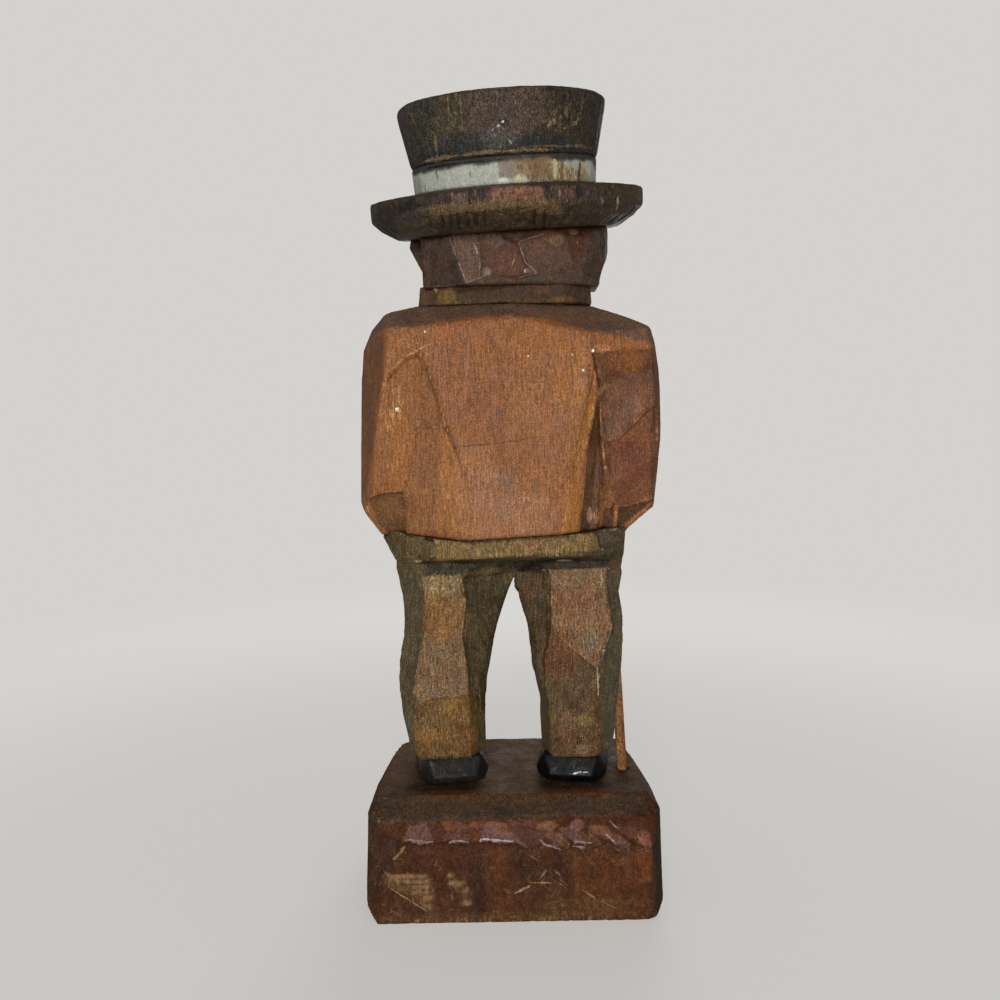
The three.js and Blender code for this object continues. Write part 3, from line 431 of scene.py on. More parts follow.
def seam_nearness(places, own, width):
    """How near each place is to another piece, from 0 to 1."""
    corners, faces = [], []
    for name, node in nodes.items():
        if name in own:
            continue
        first = len(corners)
        corners += [vertex.co.copy() for vertex in node.data.vertices]
        faces += [[first + index for index in face.vertices] for face in node.data.polygons]
    tree = BVHTree.FromPolygons(corners, faces)
    distance = np.full(len(places), width, dtype=float)
    for index, place in enumerate(places):
        hit = tree.find_nearest(place, width * MM)
        if hit[3] is not None:
            distance[index] = hit[3] / MM
    return 1 - distance / width


def facet_numbers(places, solid):
    """The number of the solid's facet that each place lies on."""
    solid.faces.ensure_lookup_table()
    tree = BVHTree.FromBMesh(solid)
    return np.array([tree.find_nearest(place)[2] for place in places])


# Knife and gouge: each cut is a function that presses a skin's points, with the paint it leaves

STROKE_REACH = 1.5
STROKE_SPREAD = 1.5
STROKE_TURN = 0.2
GRAIN_LEAN = 0.35
CROSS_LEAN = 0.4
FACING_WOBBLE = 0.12
LEVEL_SURFACE = 0.8
LENGTHS = (0.7, 1.3)
WIDTHS = (0.8, 1.2)
DEPTHS = (0.5, 1.2)
OUTLINE_LUMPS = 2.6
OUTLINE_WAVER = 0.22
FACET_REACH = 2.5
FACET_FILL = -0.45
FACET_BITE = 0.9
RIM_TURNS = np.arange(8) * math.pi / 4
RIM_INNER = 0.35
RIM_RAMP = (0.1, 0.95)


def planed(at, facing, paint=None, amount=0.8):
    """A flat knife cut: what stands above a plane is pressed down to it."""
    way = unit(facing)

    def press(points, outward):
        above = (points - at) @ way
        hit = (above > 0) & (outward @ way > 0)
        points[hit] -= above[hit, None] * way
        return hit
    return press, paint, amount


def scooped(at, facing, along, length, width, depth, paint=None, amount=0.8, most=1.5):
    """A gouge stroke: a shallow hollow, longer one way, centred on a place of the surface."""
    way = unit(facing)
    run = unit(np.asarray(along, dtype=float) - way * np.dot(along, way))
    side = np.cross(way, run)

    def press(points, outward):
        away = points - at
        height = away @ way
        spread = (away @ run / (length / 2)) ** 2 + (away @ side / (width / 2)) ** 2
        floor = depth * (spread - 1)
        hit = (height > floor) & (height < STROKE_REACH)
        hit &= (spread < STROKE_SPREAD) & (outward @ way > STROKE_TURN)
        points[hit] -= np.minimum(height - floor, most)[hit, None] * way
        return hit
    return press, paint, amount


def flat_facet(outline, facing, paint=None, amount=0.85, depth=0.12, least=0.15, soft=0.55):
    """A flat facet whose outline is drawn on the figure's back. Its rim runs out softly.

    A row of a table of facets gives the same values in the same order: the outline as (x, z)
    places, which way the facet faces, its tone, how strongly that shows and how deep it is cut,
    then how far the skin has to face backwards and how soft the rim is.
    """
    way = unit(facing)

    def press(points, outward):
        across = points[:, 0] + lumps(points, OUTLINE_LUMPS, 5) * OUTLINE_WAVER
        height = points[:, 2] + lumps(points, OUTLINE_LUMPS, 8) * OUTLINE_WAVER
        hit = inside(across, height, outline) & (outward[:, 1] > least)
        cover = np.zeros(len(points))
        ring = [(math.cos(turn), math.sin(turn)) for turn in RIM_TURNS]
        for reach in (RIM_INNER * soft, soft):
            for right, up in ring:
                covered = inside(across + right * reach, height + up * reach, outline)
                cover += covered / (2 * len(ring))
        near = (cover > 0) & (outward[:, 1] > least)
        above = points @ way
        middle = np.median(above[hit])
        near &= np.abs(above - middle) < FACET_REACH
        moved = np.clip(above[near] - middle + depth, FACET_FILL, FACET_BITE)
        moved *= ramp(cover[near], *RIM_RAMP)
        points[near] -= moved[:, None] * way
        return hit & near
    return press, paint, amount


def knife_strokes(points, outward, count, length, width, depth, seed):
    """Shallow strokes all over a piece, mostly along the grain."""
    rng = np.random.default_rng(seed)
    strokes = []
    for _ in range(count):
        index = rng.integers(len(points))
        along = (rng.uniform(-GRAIN_LEAN, GRAIN_LEAN), rng.uniform(-GRAIN_LEAN, GRAIN_LEAN), 1)
        facing = outward[index] + rng.uniform(-FACING_WOBBLE, FACING_WOBBLE, 3)
        if abs(unit(facing)[2]) > LEVEL_SURFACE:
            along = (1, rng.uniform(-CROSS_LEAN, CROSS_LEAN), 0)
        scale = rng.uniform(*LENGTHS)
        strokes.append(scooped(
            points[index].copy(), facing, along, length * scale, width * rng.uniform(*WIDTHS),
            depth * rng.uniform(*DEPTHS), most=depth * 3))
    return strokes


# Painting the stain on

PANEL_LUMPS = 1.5
PANEL_WAVER = 0.35
PANEL_DRIFT = 0.45
PANEL_EDGE = ((0, 0), (0.22, 0), (-0.22, 0), (0, 0.22), (0, -0.22))
BACK_TURN = (0.05, 0.3)
TOUCH_LUMPS = 1.6
TOUCH_FIBRES = (0.5, 0.5, 5)
TOUCH_RAGGEDNESS = 0.22
TOUCH_FRAY = 0.16
TOUCH_EDGE = (-1.15, -0.7)


def inside(across, height, outline):
    """Which places lie inside an outline drawn on the figure's back."""
    odd = np.zeros(len(across), dtype=bool)
    for (x1, z1), (x2, z2) in zip(outline, outline[1:] + outline[:1]):
        crosses = (z1 > height) != (z2 > height)
        odd ^= crosses & (across < x1 + (height - z1) / (z2 - z1 + 1e-9) * (x2 - x1))
    return odd


def lay_panels(colours, points, outward, panels, seed):
    """Fills outlines on the back with a tone. Their edges waver a little and are soft."""
    waver = lumps(points, PANEL_LUMPS, seed, 3) * PANEL_WAVER
    drift = lumps(points, PANEL_LUMPS, seed + 3, 3) * PANEL_DRIFT
    behind = ramp(outward[:, 1], *BACK_TURN)
    for outline, paint, amount in panels:
        cover = np.zeros(len(points))
        for right, up in PANEL_EDGE:
            covered = inside(points[:, 0] + waver + right, points[:, 2] + drift + up, outline)
            cover += covered / len(PANEL_EDGE)
        colours += (np.array(paint[:3]) - colours) * (cover * behind * amount)[:, None]


def lay_touches(values, points, touches, seed):
    """Lays touches over colours or wear: a place, its three radii, what is laid and how much."""
    ragged = lumps(points, TOUCH_LUMPS, seed, 3)
    fibres = lumps(points, TOUCH_FIBRES, seed + 5)
    for place, radii, laid, amount in touches:
        away = np.linalg.norm((points - place) / radii, axis=1)
        away += TOUCH_RAGGEDNESS * ragged + TOUCH_FRAY * fibres
        cover = ramp(-away, *TOUCH_EDGE) * amount
        if values.ndim == 2:
            values += (np.array(laid[:3]) - values) * cover[:, None]
        else:
            values += (laid - values) * cover


def write_values(mesh, name, values):
    """Keeps a value for each vertex in the mesh, under a name that the finishes read."""
    attribute = mesh.attributes.new(name, "FLOAT", "POINT")
    attribute.data.foreach_set("value", np.ascontiguousarray(values, dtype=np.float32))


def write_stain(mesh, colours):
    """Keeps the laid colours in the mesh."""
    attribute = mesh.attributes.new("stain", "FLOAT_COLOR", "POINT")
    full = np.ones((len(colours), 4), dtype=np.float32)
    full[:, :3] = np.clip(colours, 0, 1)
    attribute.data.foreach_set("color", full.ravel())


def hand_over(mesh, name, own):
    """Makes a finished mesh a piece of the figure."""
    piece = bpy.data.objects.new(name, mesh)
    bpy.context.scene.collection.objects.link(piece)
    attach(piece, "root")
    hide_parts(*own)


# Carving one piece

PAINT_THICKNESS = 0.17
FACET_CHANGE = 0.06
SEAM_WIDTH = 1.2
RIDGE_BEND = (0.05, 0.2)
CREASE_BEND = (0.03, 0.14)
CHIP_LUMPS = (0.9, 0.9, 1.8)
CHIP_RAMP = (0.0, 0.5)
KNIFE_WAVES = (3.2, 3.2, 6.5)
RAISED_FIBRES = (0.55, 0.55, 6.0)
RAISED_SPECKS = (0.9, 0.9, 0.9)
SPECK_SHARE = 0.7
CREASE_DIRT_AND_SHADE = 0.8


def make_cuts(points, outward, facet, cuts):
    """Makes the cuts one after another. Returns where each one leaves fresh paint."""
    freshly_cut = []
    for press, paint, amount in cuts:
        hit = press(points, outward)
        facet[hit] = facet.max() + 1
        if paint:
            freshly_cut.append((hit, paint, amount))
    return freshly_cut


def surface_lift(points, ridge, seed, knife, fibre, chips):
    """How far each place is lifted: by paint, knife waves and raised fibres, less the chips."""
    chipped = ramp(lumps(points, CHIP_LUMPS, seed + 3, 3), *CHIP_RAMP)
    lift = np.full(len(points), PAINT_THICKNESS)
    lift += knife * lumps(points, KNIFE_WAVES, seed)
    lift += fibre * lumps(points, RAISED_FIBRES, seed + 1)
    lift += fibre * SPECK_SHARE * lumps(points, RAISED_SPECKS, seed + 2)
    return lift - chips * chipped * ridge


def facet_colours(facet, tones, seed):
    """A tone between two for each facet, and each facet a little lighter or darker."""
    rng = np.random.default_rng(seed)
    share = rng.uniform(0, 1, facet.max() + 1)[facet]
    shade = rng.uniform(-1, 1, facet.max() + 1)[facet]
    first, second = (np.array(part[:3]) for part in tones)
    colours = first + (second - first) * share[:, None]
    return colours * (1 + FACET_CHANGE * shade)[:, None]


def carve_piece(name, own, material, voxel, tones, touches=(), panels=(), worn=(),
                wear=0.3, knife=0.06, fibre=0.03, chips=0.25, strokes=None, cuts=(), marks=(),
                extend=(), soften=0, seed=1):
    """Makes one finished piece from its CAD nodes, paints it and hands it to the frame.

    A row of touches gives a place, its three radii, a tone and how strongly it shows. A row of
    panels gives an outline of (x, z) places on the back, a tone and how strongly it shows. A row
    of worn gives a place, its three radii and how worn it is, and wear is what the rest has.
    Each kind of noise has its own step from the piece's seed.
    """
    solid = solid_copy(own)
    for facing, reach, where in extend:
        run_on(solid, facing, reach, where)
    skin = fine_skin(solid, name, voxel, marks)
    places = vertex_array(skin)
    seam = seam_nearness(places, own, SEAM_WIDTH)
    facet = facet_numbers(places, solid)
    solid.free()

    points = places / MM
    outward = vertex_array(skin, True)
    joined = Neighbours(skin)
    for _ in range(soften):
        points = (points + joined.mean(points)) / 2
    all_cuts = list(cuts)
    if strokes:
        all_cuts = knife_strokes(points, outward, *strokes, seed + 7) + all_cuts
    freshly_cut = make_cuts(points, outward, facet, all_cuts)
    skin.vertices.foreach_set("co", (points * MM).ravel())
    skin.update()

    outward = vertex_array(skin, True)
    ridge = ramp(joined.bend(points, outward, voxel, 1), *RIDGE_BEND)
    crease = ramp(-joined.bend(points, outward, voxel, 3), *CREASE_BEND)
    lift = surface_lift(points, ridge, seed, knife, fibre, chips)
    skin.vertices.foreach_set("co", ((points + outward * lift[:, None]) * MM).ravel())
    skin.update()

    colours = facet_colours(facet, tones, seed)
    lay_panels(colours, points, outward, panels, seed + 13)
    for hit, paint, amount in freshly_cut:
        colours[hit] += (np.array(paint[:3]) - colours[hit]) * amount
    lay_touches(colours, points, touches, seed + 11)
    write_stain(skin, colours)
    rubbed = np.full(len(points), float(wear))
    lay_touches(rubbed, points, [(*row, 1.0) for row in worn], seed + 19)
    write_values(skin, "worn", np.clip(rubbed, 0, 1))
    write_values(skin, "ridge", ridge)
    # Creases and seams with other pieces, which the finish darkens with dirt and painted shade
    write_values(skin, "hollow", np.clip(np.maximum(crease * CREASE_DIRT_AND_SHADE, seam), 0, 1))

    skin.polygons.foreach_set("use_smooth", np.ones(len(skin.polygons), dtype=bool))
    skin.materials.clear()
    skin.materials.append(material)
    hand_over(skin, name, own)


# Shader groups that the materials share

# Lumps of noise have a size across and along the grain. A range says where in it a mask fades in.
CLEAR_RANGE = (0.3, 0.7)
PORE_RANGE = (0.42, 0.30)
PATCH_RANGE = (0.35, 0.65)
HIGHLIGHT_FLECK_RANGE = (0.6, 0.74)
DRIFT_RANGE = (0.36, 0.64)
BARE_RANGE = (0.32, 0.62)
FLAKE_RANGE = (0.76, 0.86)
DIRT_AND_SHADE_RANGE = (0.45, 1.15)
DASH_RANGE = (0.63, 0.7)
FIBRE_WIDTH_SHARE = 0.24
FIBRE_LENGTH_SHARE = 0.3
MOTTLE_STRETCH = 1.25
DRIFT_LUMPS = (1.9, 3.2)
DRIFT_SEED_STEP = 40.0
RUBBED_LUMPS = (1.5, 2.6)
RUBBED_SPREAD = 2.2
FLAKED_LUMPS = (2.6, 3.4)
DIRT_AND_SHADE_LUMPS = (2.2, 3.0)
DASH_LUMPS = (0.24, 3.6)
DASH_TURNS = (0.5, -0.9, 1.4)
CLUSTER_LUMPS = (4.0, 4.0)
FLAKING_SHARES = (0.75, 0.35, 0.4)
LEAST_CLUSTER = 0.78
CLUSTER_FADE = 0.08


def stretched(tree, vector, across, along):
    """Coordinates in which a lump of noise is so many millimetres across and along the grain."""
    scale = put(tree, "ShaderNodeCombineXYZ", X=maths(tree, "DIVIDE", 1.0, across),
                Y=maths(tree, "DIVIDE", 1.0, across), Z=maths(tree, "DIVIDE", 1.0, along))
    return vector_maths(tree, "MULTIPLY", vector, scale.outputs[0])


def noise_value(tree, vector, seed, detail=3.0, rough=0.55, scale=1.0):
    """Noise from 0 to 1."""
    node = put(tree, "ShaderNodeTexNoise", {"noise_dimensions": "4D"}, Vector=vector, W=seed,
               Scale=scale, Detail=detail, Roughness=rough)
    return node.outputs[0]


def shader_group(name, inputs, outputs):
    """A shader group that reads values, and places in millimetres, which it hands on too."""
    tree, given, out = new_tree(
        "ShaderNodeTree", name, {"Millimetres": "vector", **{key: "value" for key in inputs}},
        {key: "value" for key in outputs})
    return tree, given["Millimetres"], given, out


def make_grain():
    """Grain that runs up the figure: broad streaks, dark pores and their height."""
    tree, mm, given, out = shader_group(
        "wood_grain", ["Width", "Length", "Seed"], ["Streaks", "Pores", "Fibres", "Height"])
    broad = stretched(tree, mm, given["Width"], given["Length"])
    streaks = noise_value(tree, broad, given["Seed"], 4.0, 0.6)
    fine = stretched(tree, mm, times(tree, given["Width"], FIBRE_WIDTH_SHARE),
                     times(tree, given["Length"], FIBRE_LENGTH_SHARE))
    fibres = noise_value(tree, fine, given["Seed"], 2.0, 0.5)
    tree.links.new(between(tree, streaks, *CLEAR_RANGE), out["Streaks"])
    tree.links.new(between(tree, fibres, *PORE_RANGE), out["Pores"])
    tree.links.new(between(tree, fibres, *CLEAR_RANGE), out["Fibres"])
    height = plus(tree, times(tree, streaks, 0.5), times(tree, fibres, 0.5))
    tree.links.new(height, out["Height"])
    return tree


def make_patches():
    """Uneven paint: broad patches, smaller spots and a fine grit that makes the paint sparkle."""
    tree, mm, given, out = shader_group(
        "uneven_paint", ["Patch size", "Mottle size", "Grit size", "Seed"],
        ["Patches", "Mottle", "Grit", "Drift", "Highlight_flecks"])
    broad = stretched(tree, mm, given["Patch size"], given["Patch size"])
    patches = noise_value(tree, broad, given["Seed"], 5.0, 0.62)
    spots = stretched(tree, mm, given["Mottle size"],
                      times(tree, given["Mottle size"], MOTTLE_STRETCH))
    mottle = noise_value(tree, spots, given["Seed"], 4.0, 0.7)
    tree.links.new(between(tree, mottle, *CLEAR_RANGE), out["Mottle"])
    small = stretched(tree, mm, given["Grit size"], given["Grit size"])
    tree.links.new(between(tree, patches, *PATCH_RANGE), out["Patches"])
    grit = noise_value(tree, small, given["Seed"], 2.0, 0.75)
    tree.links.new(grit, out["Grit"])
    # Pale specks at the grit's peaks, which the finish lays on as painted highlights
    tree.links.new(between(tree, grit, *HIGHLIGHT_FLECK_RANGE), out["Highlight_flecks"])
    wide = stretched(tree, mm, *DRIFT_LUMPS)
    drift = noise_value(tree, wide, plus(tree, given["Seed"], DRIFT_SEED_STEP), 2.0, 0.5)
    tree.links.new(between(tree, drift, *DRIFT_RANGE), out["Drift"])
    return tree


def make_rubbing():
    """Where hands and shelves have rubbed the paint off the ridges."""
    tree, mm, given, out = shader_group("rubbed_ridges", ["Ridge", "Amount", "Seed"], ["Bare"])
    uneven = stretched(tree, mm, *RUBBED_LUMPS)
    coarse = noise_value(tree, uneven, given["Seed"], 5.0, 0.68)
    reach = times(tree, given["Ridge"], given["Amount"])
    spread = times(tree, minus(tree, coarse, 0.5), RUBBED_SPREAD)
    total = plus(tree, reach, times(tree, spread, given["Ridge"]))
    tree.links.new(between(tree, total, *BARE_RANGE), out["Bare"])
    return tree


def make_flaking():
    """Paint that has flaked off along the grain wherever the piece is worn."""
    tree, mm, given, out = shader_group(
        "flaked_paint", ["Worn", "Width", "Length", "Seed"], ["Flaked"])
    along = stretched(tree, mm, given["Width"], given["Length"])
    streaks = noise_value(tree, along, given["Seed"], 4.0, 0.62)
    uneven = stretched(tree, mm, *FLAKED_LUMPS)
    patchy = noise_value(tree, uneven, given["Seed"], 3.0, 0.6)
    streak_share, patch_share, worn_share = FLAKING_SHARES
    total = plus(tree, times(tree, streaks, streak_share), times(tree, patchy, patch_share))
    total = plus(tree, total, times(tree, given["Worn"], worn_share))
    tree.links.new(between(tree, total, *FLAKE_RANGE), out["Flaked"])
    return tree


def make_dirt_and_shade():
    """Dirt and old varnish in the creases and along the seams, and painted shade there too."""
    tree, mm, given, out = shader_group("dirt_and_shade_in_hollows", ["Hollow", "Amount", "Seed"], ["Dirt"])
    uneven = stretched(tree, mm, *DIRT_AND_SHADE_LUMPS)
    coarse = noise_value(tree, uneven, given["Seed"], 4.0, 0.6)
    reach = times(tree, given["Hollow"], given["Amount"])
    total = plus(tree, reach, times(tree, coarse, 0.5))
    tree.links.new(between(tree, total, *DIRT_AND_SHADE_RANGE), out["Dirt"])
    return tree


def make_scratches():
    """Short fine scratches that run every way, in loose clusters."""
    tree, mm, given, out = shader_group("scratches", ["Amount", "Seed"], ["Scratches"])
    lines = []
    for turn in DASH_TURNS:
        rotated = put(tree, "ShaderNodeVectorRotate", {"rotation_type": "Y_AXIS"},
                      Vector=mm, Angle=turn).outputs[0]
        dash = noise_value(tree, stretched(tree, rotated, *DASH_LUMPS),
                           plus(tree, given["Seed"], turn), 1.0, 0.5)
        lines.append(between(tree, dash, *DASH_RANGE))
    most = maths(tree, "MAXIMUM", maths(tree, "MAXIMUM", lines[0], lines[1]), lines[2])
    wide = stretched(tree, mm, *CLUSTER_LUMPS)
    here = noise_value(tree, wide, given["Seed"], 3.0, 0.6)
    limit = minus(tree, LEAST_CLUSTER, times(tree, given["Amount"], 0.3))
    cover = between(tree, minus(tree, here, limit), 0.0, CLUSTER_FADE)
    tree.links.new(times(tree, most, cover), out["Scratches"])
    return tree


def make_scored_line():
    """One scratch or tool mark on the figure's back, from one place to another."""
    tree, given, out = new_tree(
        "ShaderNodeTree", "scored_line",
        {"Drawn at": "vector", "Start": "vector", "Run": "vector", "Width": "value",
         "Taper": "value", "Raggedness": "value"},
        {"Line": "value"})
    away = vector_maths(tree, "SUBTRACT", given["Drawn at"], given["Start"])
    run = given["Run"]
    length = plus(tree, vector_maths(tree, "DOT_PRODUCT", run, run, "Value"), 1e-6)
    share = maths(tree, "DIVIDE", vector_maths(tree, "DOT_PRODUCT", away, run, "Value"), length,
                  clamp=True)
    foot = scaled(tree, run, share)
    gap = vector_maths(tree, "LENGTH", vector_maths(tree, "SUBTRACT", away, foot), out="Value")
    gap = plus(tree, gap, times(tree, given["Raggedness"], given["Width"]))
    middle = times(tree, hump(tree, share), 4.0)
    narrow = times(tree, minus(tree, middle, 1.0), given["Taper"])
    width = times(tree, given["Width"], plus(tree, narrow, 1.0))
    node = put(tree, "ShaderNodeMapRange", {"interpolation_type": "SMOOTHSTEP"}, Value=gap,
               From_Min=times(tree, width, 0.5), From_Max=times(tree, width, 0.2))
    tree.links.new(node.outputs["Result"], out["Line"])
    return tree


grain_group = make_grain()
patch_group = make_patches()
rubbing_group = make_rubbing()
flaking_group = make_flaking()
dirt_and_shade_group = make_dirt_and_shade()
scratch_group = make_scratches()
line_group = make_scored_line()


def use(tree, group, **inputs):
    """Places a shader group, with its inputs set by name."""
    node = tree.nodes.new("ShaderNodeGroup")
    node.node_tree = group
    for key, value in inputs.items():
        feed(tree, value, node.inputs[key.replace("_", " ")])
    return node.outputs


# The finish that all the carved pieces share

PATCH_SIZE = 3.5
MOTTLE_SIZE = 0.6
GRIT_SIZE = 0.27
WARMER = (1.16, 1.0, 0.76, 1)
COOLER = (0.89, 0.98, 1.08, 1)
DEEPER = (0.42, 0.38, 0.34, 1)
FLAKED_SHARE = 0.85
RUBBED_SHARE = 0.8
SCRATCHED_SHARE = 0.7
ROUGHENING = 0.15
GRAIN_HEIGHT = 0.6
GRIT_HEIGHT = 0.4
RUBBED_DEPTH = 0.2
FLAKED_DEPTH = 0.25
PORE_DEPTH = 0.25
SCRATCH_DEPTH = 0.4
RELIEF_DISTANCE = 0.16 * MM
BACK_FROM = 1.0
MARK_WIDENING = 1.15
MARK_TAPER = 0.6
MARK_RAGGEDNESS = 1.2
MARK_DEPTH = 0.5


def swing(tree, value, low, high, amount):
    """A factor round one: less by an amount where a value is low, and more where it is high."""
    return between(tree, value, low, high, 1 - amount, 1 + amount)


def add_marks(tree, lines, mm, seed, colour, height):
    """Draws scratches, tool marks and specks on the figure's back, in colour and height."""
    drawn_at = vector_maths(tree, "MULTIPLY", mm, (1, 0, 1))
    behind = put(tree, "ShaderNodeSeparateXYZ", Vector=mm).outputs["Y"]
    behind = maths(tree, "GREATER_THAN", behind, BACK_FROM)
    ragged = noise_value(tree, mm, seed, 3.0, 0.6, 1.3)
    ragged = times(tree, minus(tree, ragged, 0.5), MARK_RAGGEDNESS)
    for (x1, z1), (x2, z2), width, mark_tone, strength in lines:
        taper = MARK_TAPER if (x1, z1) != (x2, z2) else 0.0
        mark = use(tree, line_group, Drawn_at=drawn_at, Start=(x1, 0, z1),
                   Run=(x2 - x1, 0, z2 - z1), Width=width * MARK_WIDENING, Taper=taper,
                   Raggedness=ragged)["Line"]
        mark = times(tree, mark, times(tree, behind, strength))
        colour = mixed(tree, mark, colour, mark_tone)
        height = minus(tree, height, times(tree, mark, MARK_DEPTH))
    return colour, height


def painted_wood(name, bare, dark, shine=(0.5, 0.7), streak=(0.7, 9.0), streaks=0.3, pores=0.35,
                 patches=0.25, mottle=0.25, rubbing=0.6, flake=(0.3, 2.0), dirt=0.8,
                 scratches=0.0, bump=0.6, fibres=0.08, grit=0.45, highlight_flecks=0.3, drift=0.6, sheen=0.2,
                 lines=(), seed=1.0):
    """A carved and painted finish: the stain, grain, wear, scratches, dirt and painted shade."""
    material = bpy.data.materials.new(name)
    material.use_nodes = True
    tree = material.node_tree
    tree.nodes.clear()
    place = tree.nodes.new("ShaderNodeTexCoord").outputs["Object"]
    mm = scaled(tree, place, 1 / MM)
    stain = put(tree, "ShaderNodeAttribute", {"attribute_name": "stain"}).outputs["Color"]
    ridge, hollow, thin = (
        put(tree, "ShaderNodeAttribute", {"attribute_name": laid}).outputs["Fac"]
        for laid in ("ridge", "hollow", "worn"))
    grain = use(tree, grain_group, Millimetres=mm, Width=streak[0], Length=streak[1], Seed=seed)
    paint = use(tree, patch_group, Millimetres=mm, Patch_size=PATCH_SIZE,
                Mottle_size=MOTTLE_SIZE, Grit_size=GRIT_SIZE, Seed=seed)
    rubbed = use(tree, rubbing_group, Millimetres=mm, Ridge=ridge, Amount=rubbing,
                 Seed=seed)["Bare"]
    flaked = use(tree, flaking_group, Millimetres=mm, Worn=thin, Width=flake[0],
                 Length=flake[1], Seed=seed)["Flaked"]
    # The creases and seams darken with dirt and with painted shade
    dirt_and_shade = use(tree, dirt_and_shade_group, Millimetres=mm, Hollow=hollow, Amount=dirt, Seed=seed)["Dirt"]

    warmer = mixed(tree, 1.0, stain, WARMER, "MULTIPLY")
    cooler = mixed(tree, 1.0, stain, COOLER, "MULTIPLY")
    stain = mixed(tree, drift, stain, mixed(tree, paint["Drift"], warmer, cooler))
    deeper = mixed(tree, 1.0, stain, DEEPER, "MULTIPLY")
    lighter = mixed(tree, 0.5, stain, bare)
    colour = stain
    # Of these, the pale grit specks are painted highlights; the rest are the paint's own tone and
    # wear
    for cover, amount, laid in (
            (grain["Streaks"], streaks, deeper), (paint["Patches"], patches, lighter),
            (grain["Pores"], pores, deeper), (paint["Highlight_flecks"], highlight_flecks, lighter),
            (flaked, FLAKED_SHARE, bare), (rubbed, RUBBED_SHARE, bare)):
        colour = mixed(tree, times(tree, cover, amount), colour, laid)
    colour = mixed(tree, dirt_and_shade, colour, dark)

    height = plus(tree, times(tree, grain["Height"], GRAIN_HEIGHT),
                  times(tree, paint["Grit"], GRIT_HEIGHT))
    for sunk, depth in ((rubbed, RUBBED_DEPTH), (flaked, FLAKED_DEPTH),
                        (grain["Pores"], PORE_DEPTH)):
        height = minus(tree, height, times(tree, sunk, depth))
    if scratches:
        scored = use(tree, scratch_group, Millimetres=mm, Amount=scratches, Seed=seed)[0]
        colour = mixed(tree, times(tree, scored, SCRATCHED_SHARE), colour, bare)
        height = minus(tree, height, times(tree, scored, SCRATCH_DEPTH))
    if lines:
        colour, height = add_marks(tree, lines, mm, seed, colour, height)
    sparkle = times(tree, swing(tree, paint["Grit"], 0.25, 0.75, grit),
                    swing(tree, paint["Mottle"], 0.0, 1.0, mottle))
    sparkle = times(tree, sparkle, swing(tree, grain["Fibres"], 0.0, 1.0, fibres))
    colour = scaled(tree, colour, sparkle)

    gloss = between(tree, paint["Patches"], 0.0, 1.0, shine[0], shine[1])
    gloss = plus(tree, gloss, times(tree, dirt_and_shade, ROUGHENING), clamp=True)
    gloss = plus(tree, gloss, times(tree, flaked, ROUGHENING), clamp=True)
    relief = put(tree, "ShaderNodeBump", Strength=bump, Distance=RELIEF_DISTANCE,
                 Height=height)
    shader = put(tree, "ShaderNodeBsdfPrincipled", Base_Color=colour, Roughness=gloss,
                 Normal=relief.outputs[0])
    shader.inputs["Specular IOR Level"].default_value = sheen
    end = tree.nodes.new("ShaderNodeOutputMaterial")
    tree.links.new(shader.outputs[0], end.inputs["Surface"])
    return material


# Marks that a finish carries: a start, an end, a width, a tone and how strongly it shows

def dot(place, width, paint, strength):
    """A round speck: a mark of no length."""
    return place, place, width, paint, strength


def teeth(stops, top, foot, lean, width, paint, strength):
    """Upright cuts side by side, each at its own stop across the figure."""
    return [((across, top), (across + lean, foot), width, paint, strength) for across in stops]


# The base block

scar = tone(166, 138, 102)
# The tone of the painted highlights on the bites' lips
glint = tone(184, 158, 152)
base_stain = painted_wood(
    "stained_base", bare=tone(134, 102, 70), dark=tone(26, 18, 14), shine=(0.66, 0.86), sheen=0.08,
    streak=(1.2, 7.0), streaks=0.5, pores=0.15, rubbing=0.5, flake=(0.4, 1.0), dirt=0.6,
    scratches=0.8, bump=0.7, grit=0.42, highlight_flecks=0.12, seed=12.0,
    lines=[
        # The long scratch across the scuff
        ((20.2, 6.1), (17.5, 4.2), 0.26, scar, 0.7),
        ((17.5, 4.2), (13.8, 1.7), 0.3, scar, 0.55),
        # The forked scratch in the middle
        ((0.2, 4.9), (-2.4, 6.2), 0.5, scar, 0.75),
        ((-2.4, 6.7), (-6.1, 6.6), 0.26, scar, 0.6),
        ((-3.7, 7), (-5.2, 8.8), 0.3, scar, 0.55),
        # The long scratch on the right
        ((-11, 5.2), (-13.1, 3.8), 0.4, scar, 0.55),
        ((-13.4, 3.6), (-16.8, 1.9), 0.24, scar, 0.55),
        # The chip above the scuff
        ((17.9, 12.7), (19.8, 10.8), 0.5, scar, 0.6),
        # The pale lower lips of the bites: worn ridges, with painted highlights on them
        ((18.3, 13.2), (13.3, 13.2), 0.22, glint, 0.85),
        ((10.7, 13), (7.6, 13.1), 0.24, glint, 0.85),
        ((5.8, 13.1), (0.3, 13), 0.3, tone(206, 184, 180), 0.95),
        ((-4.1, 13.1), (-7.4, 12), 0.28, glint, 0.8),
        ((-9.5, 12.4), (-12.6, 12.4), 0.28, glint, 0.75),
        ((-15, 13.4), (-16.6, 12.2), 0.3, glint, 0.85),
        ((-15.8, 15.2), (-17, 14.3), 0.24, glint, 0.7),
        ((-20.4, 13), (-21.6, 11.6), 0.34, tone(170, 120, 92), 0.7),
    ])

purple_scoop = tone(120, 84, 80)
red_scoop = tone(98, 58, 46)
pink_scoop = tone(124, 82, 66)
bite_facing = (-0.3, 0.8, 0.52)
bite_run = (-0.72, -0.32, -0.78)
bite_width = 2.2
bite_depth = 0.8
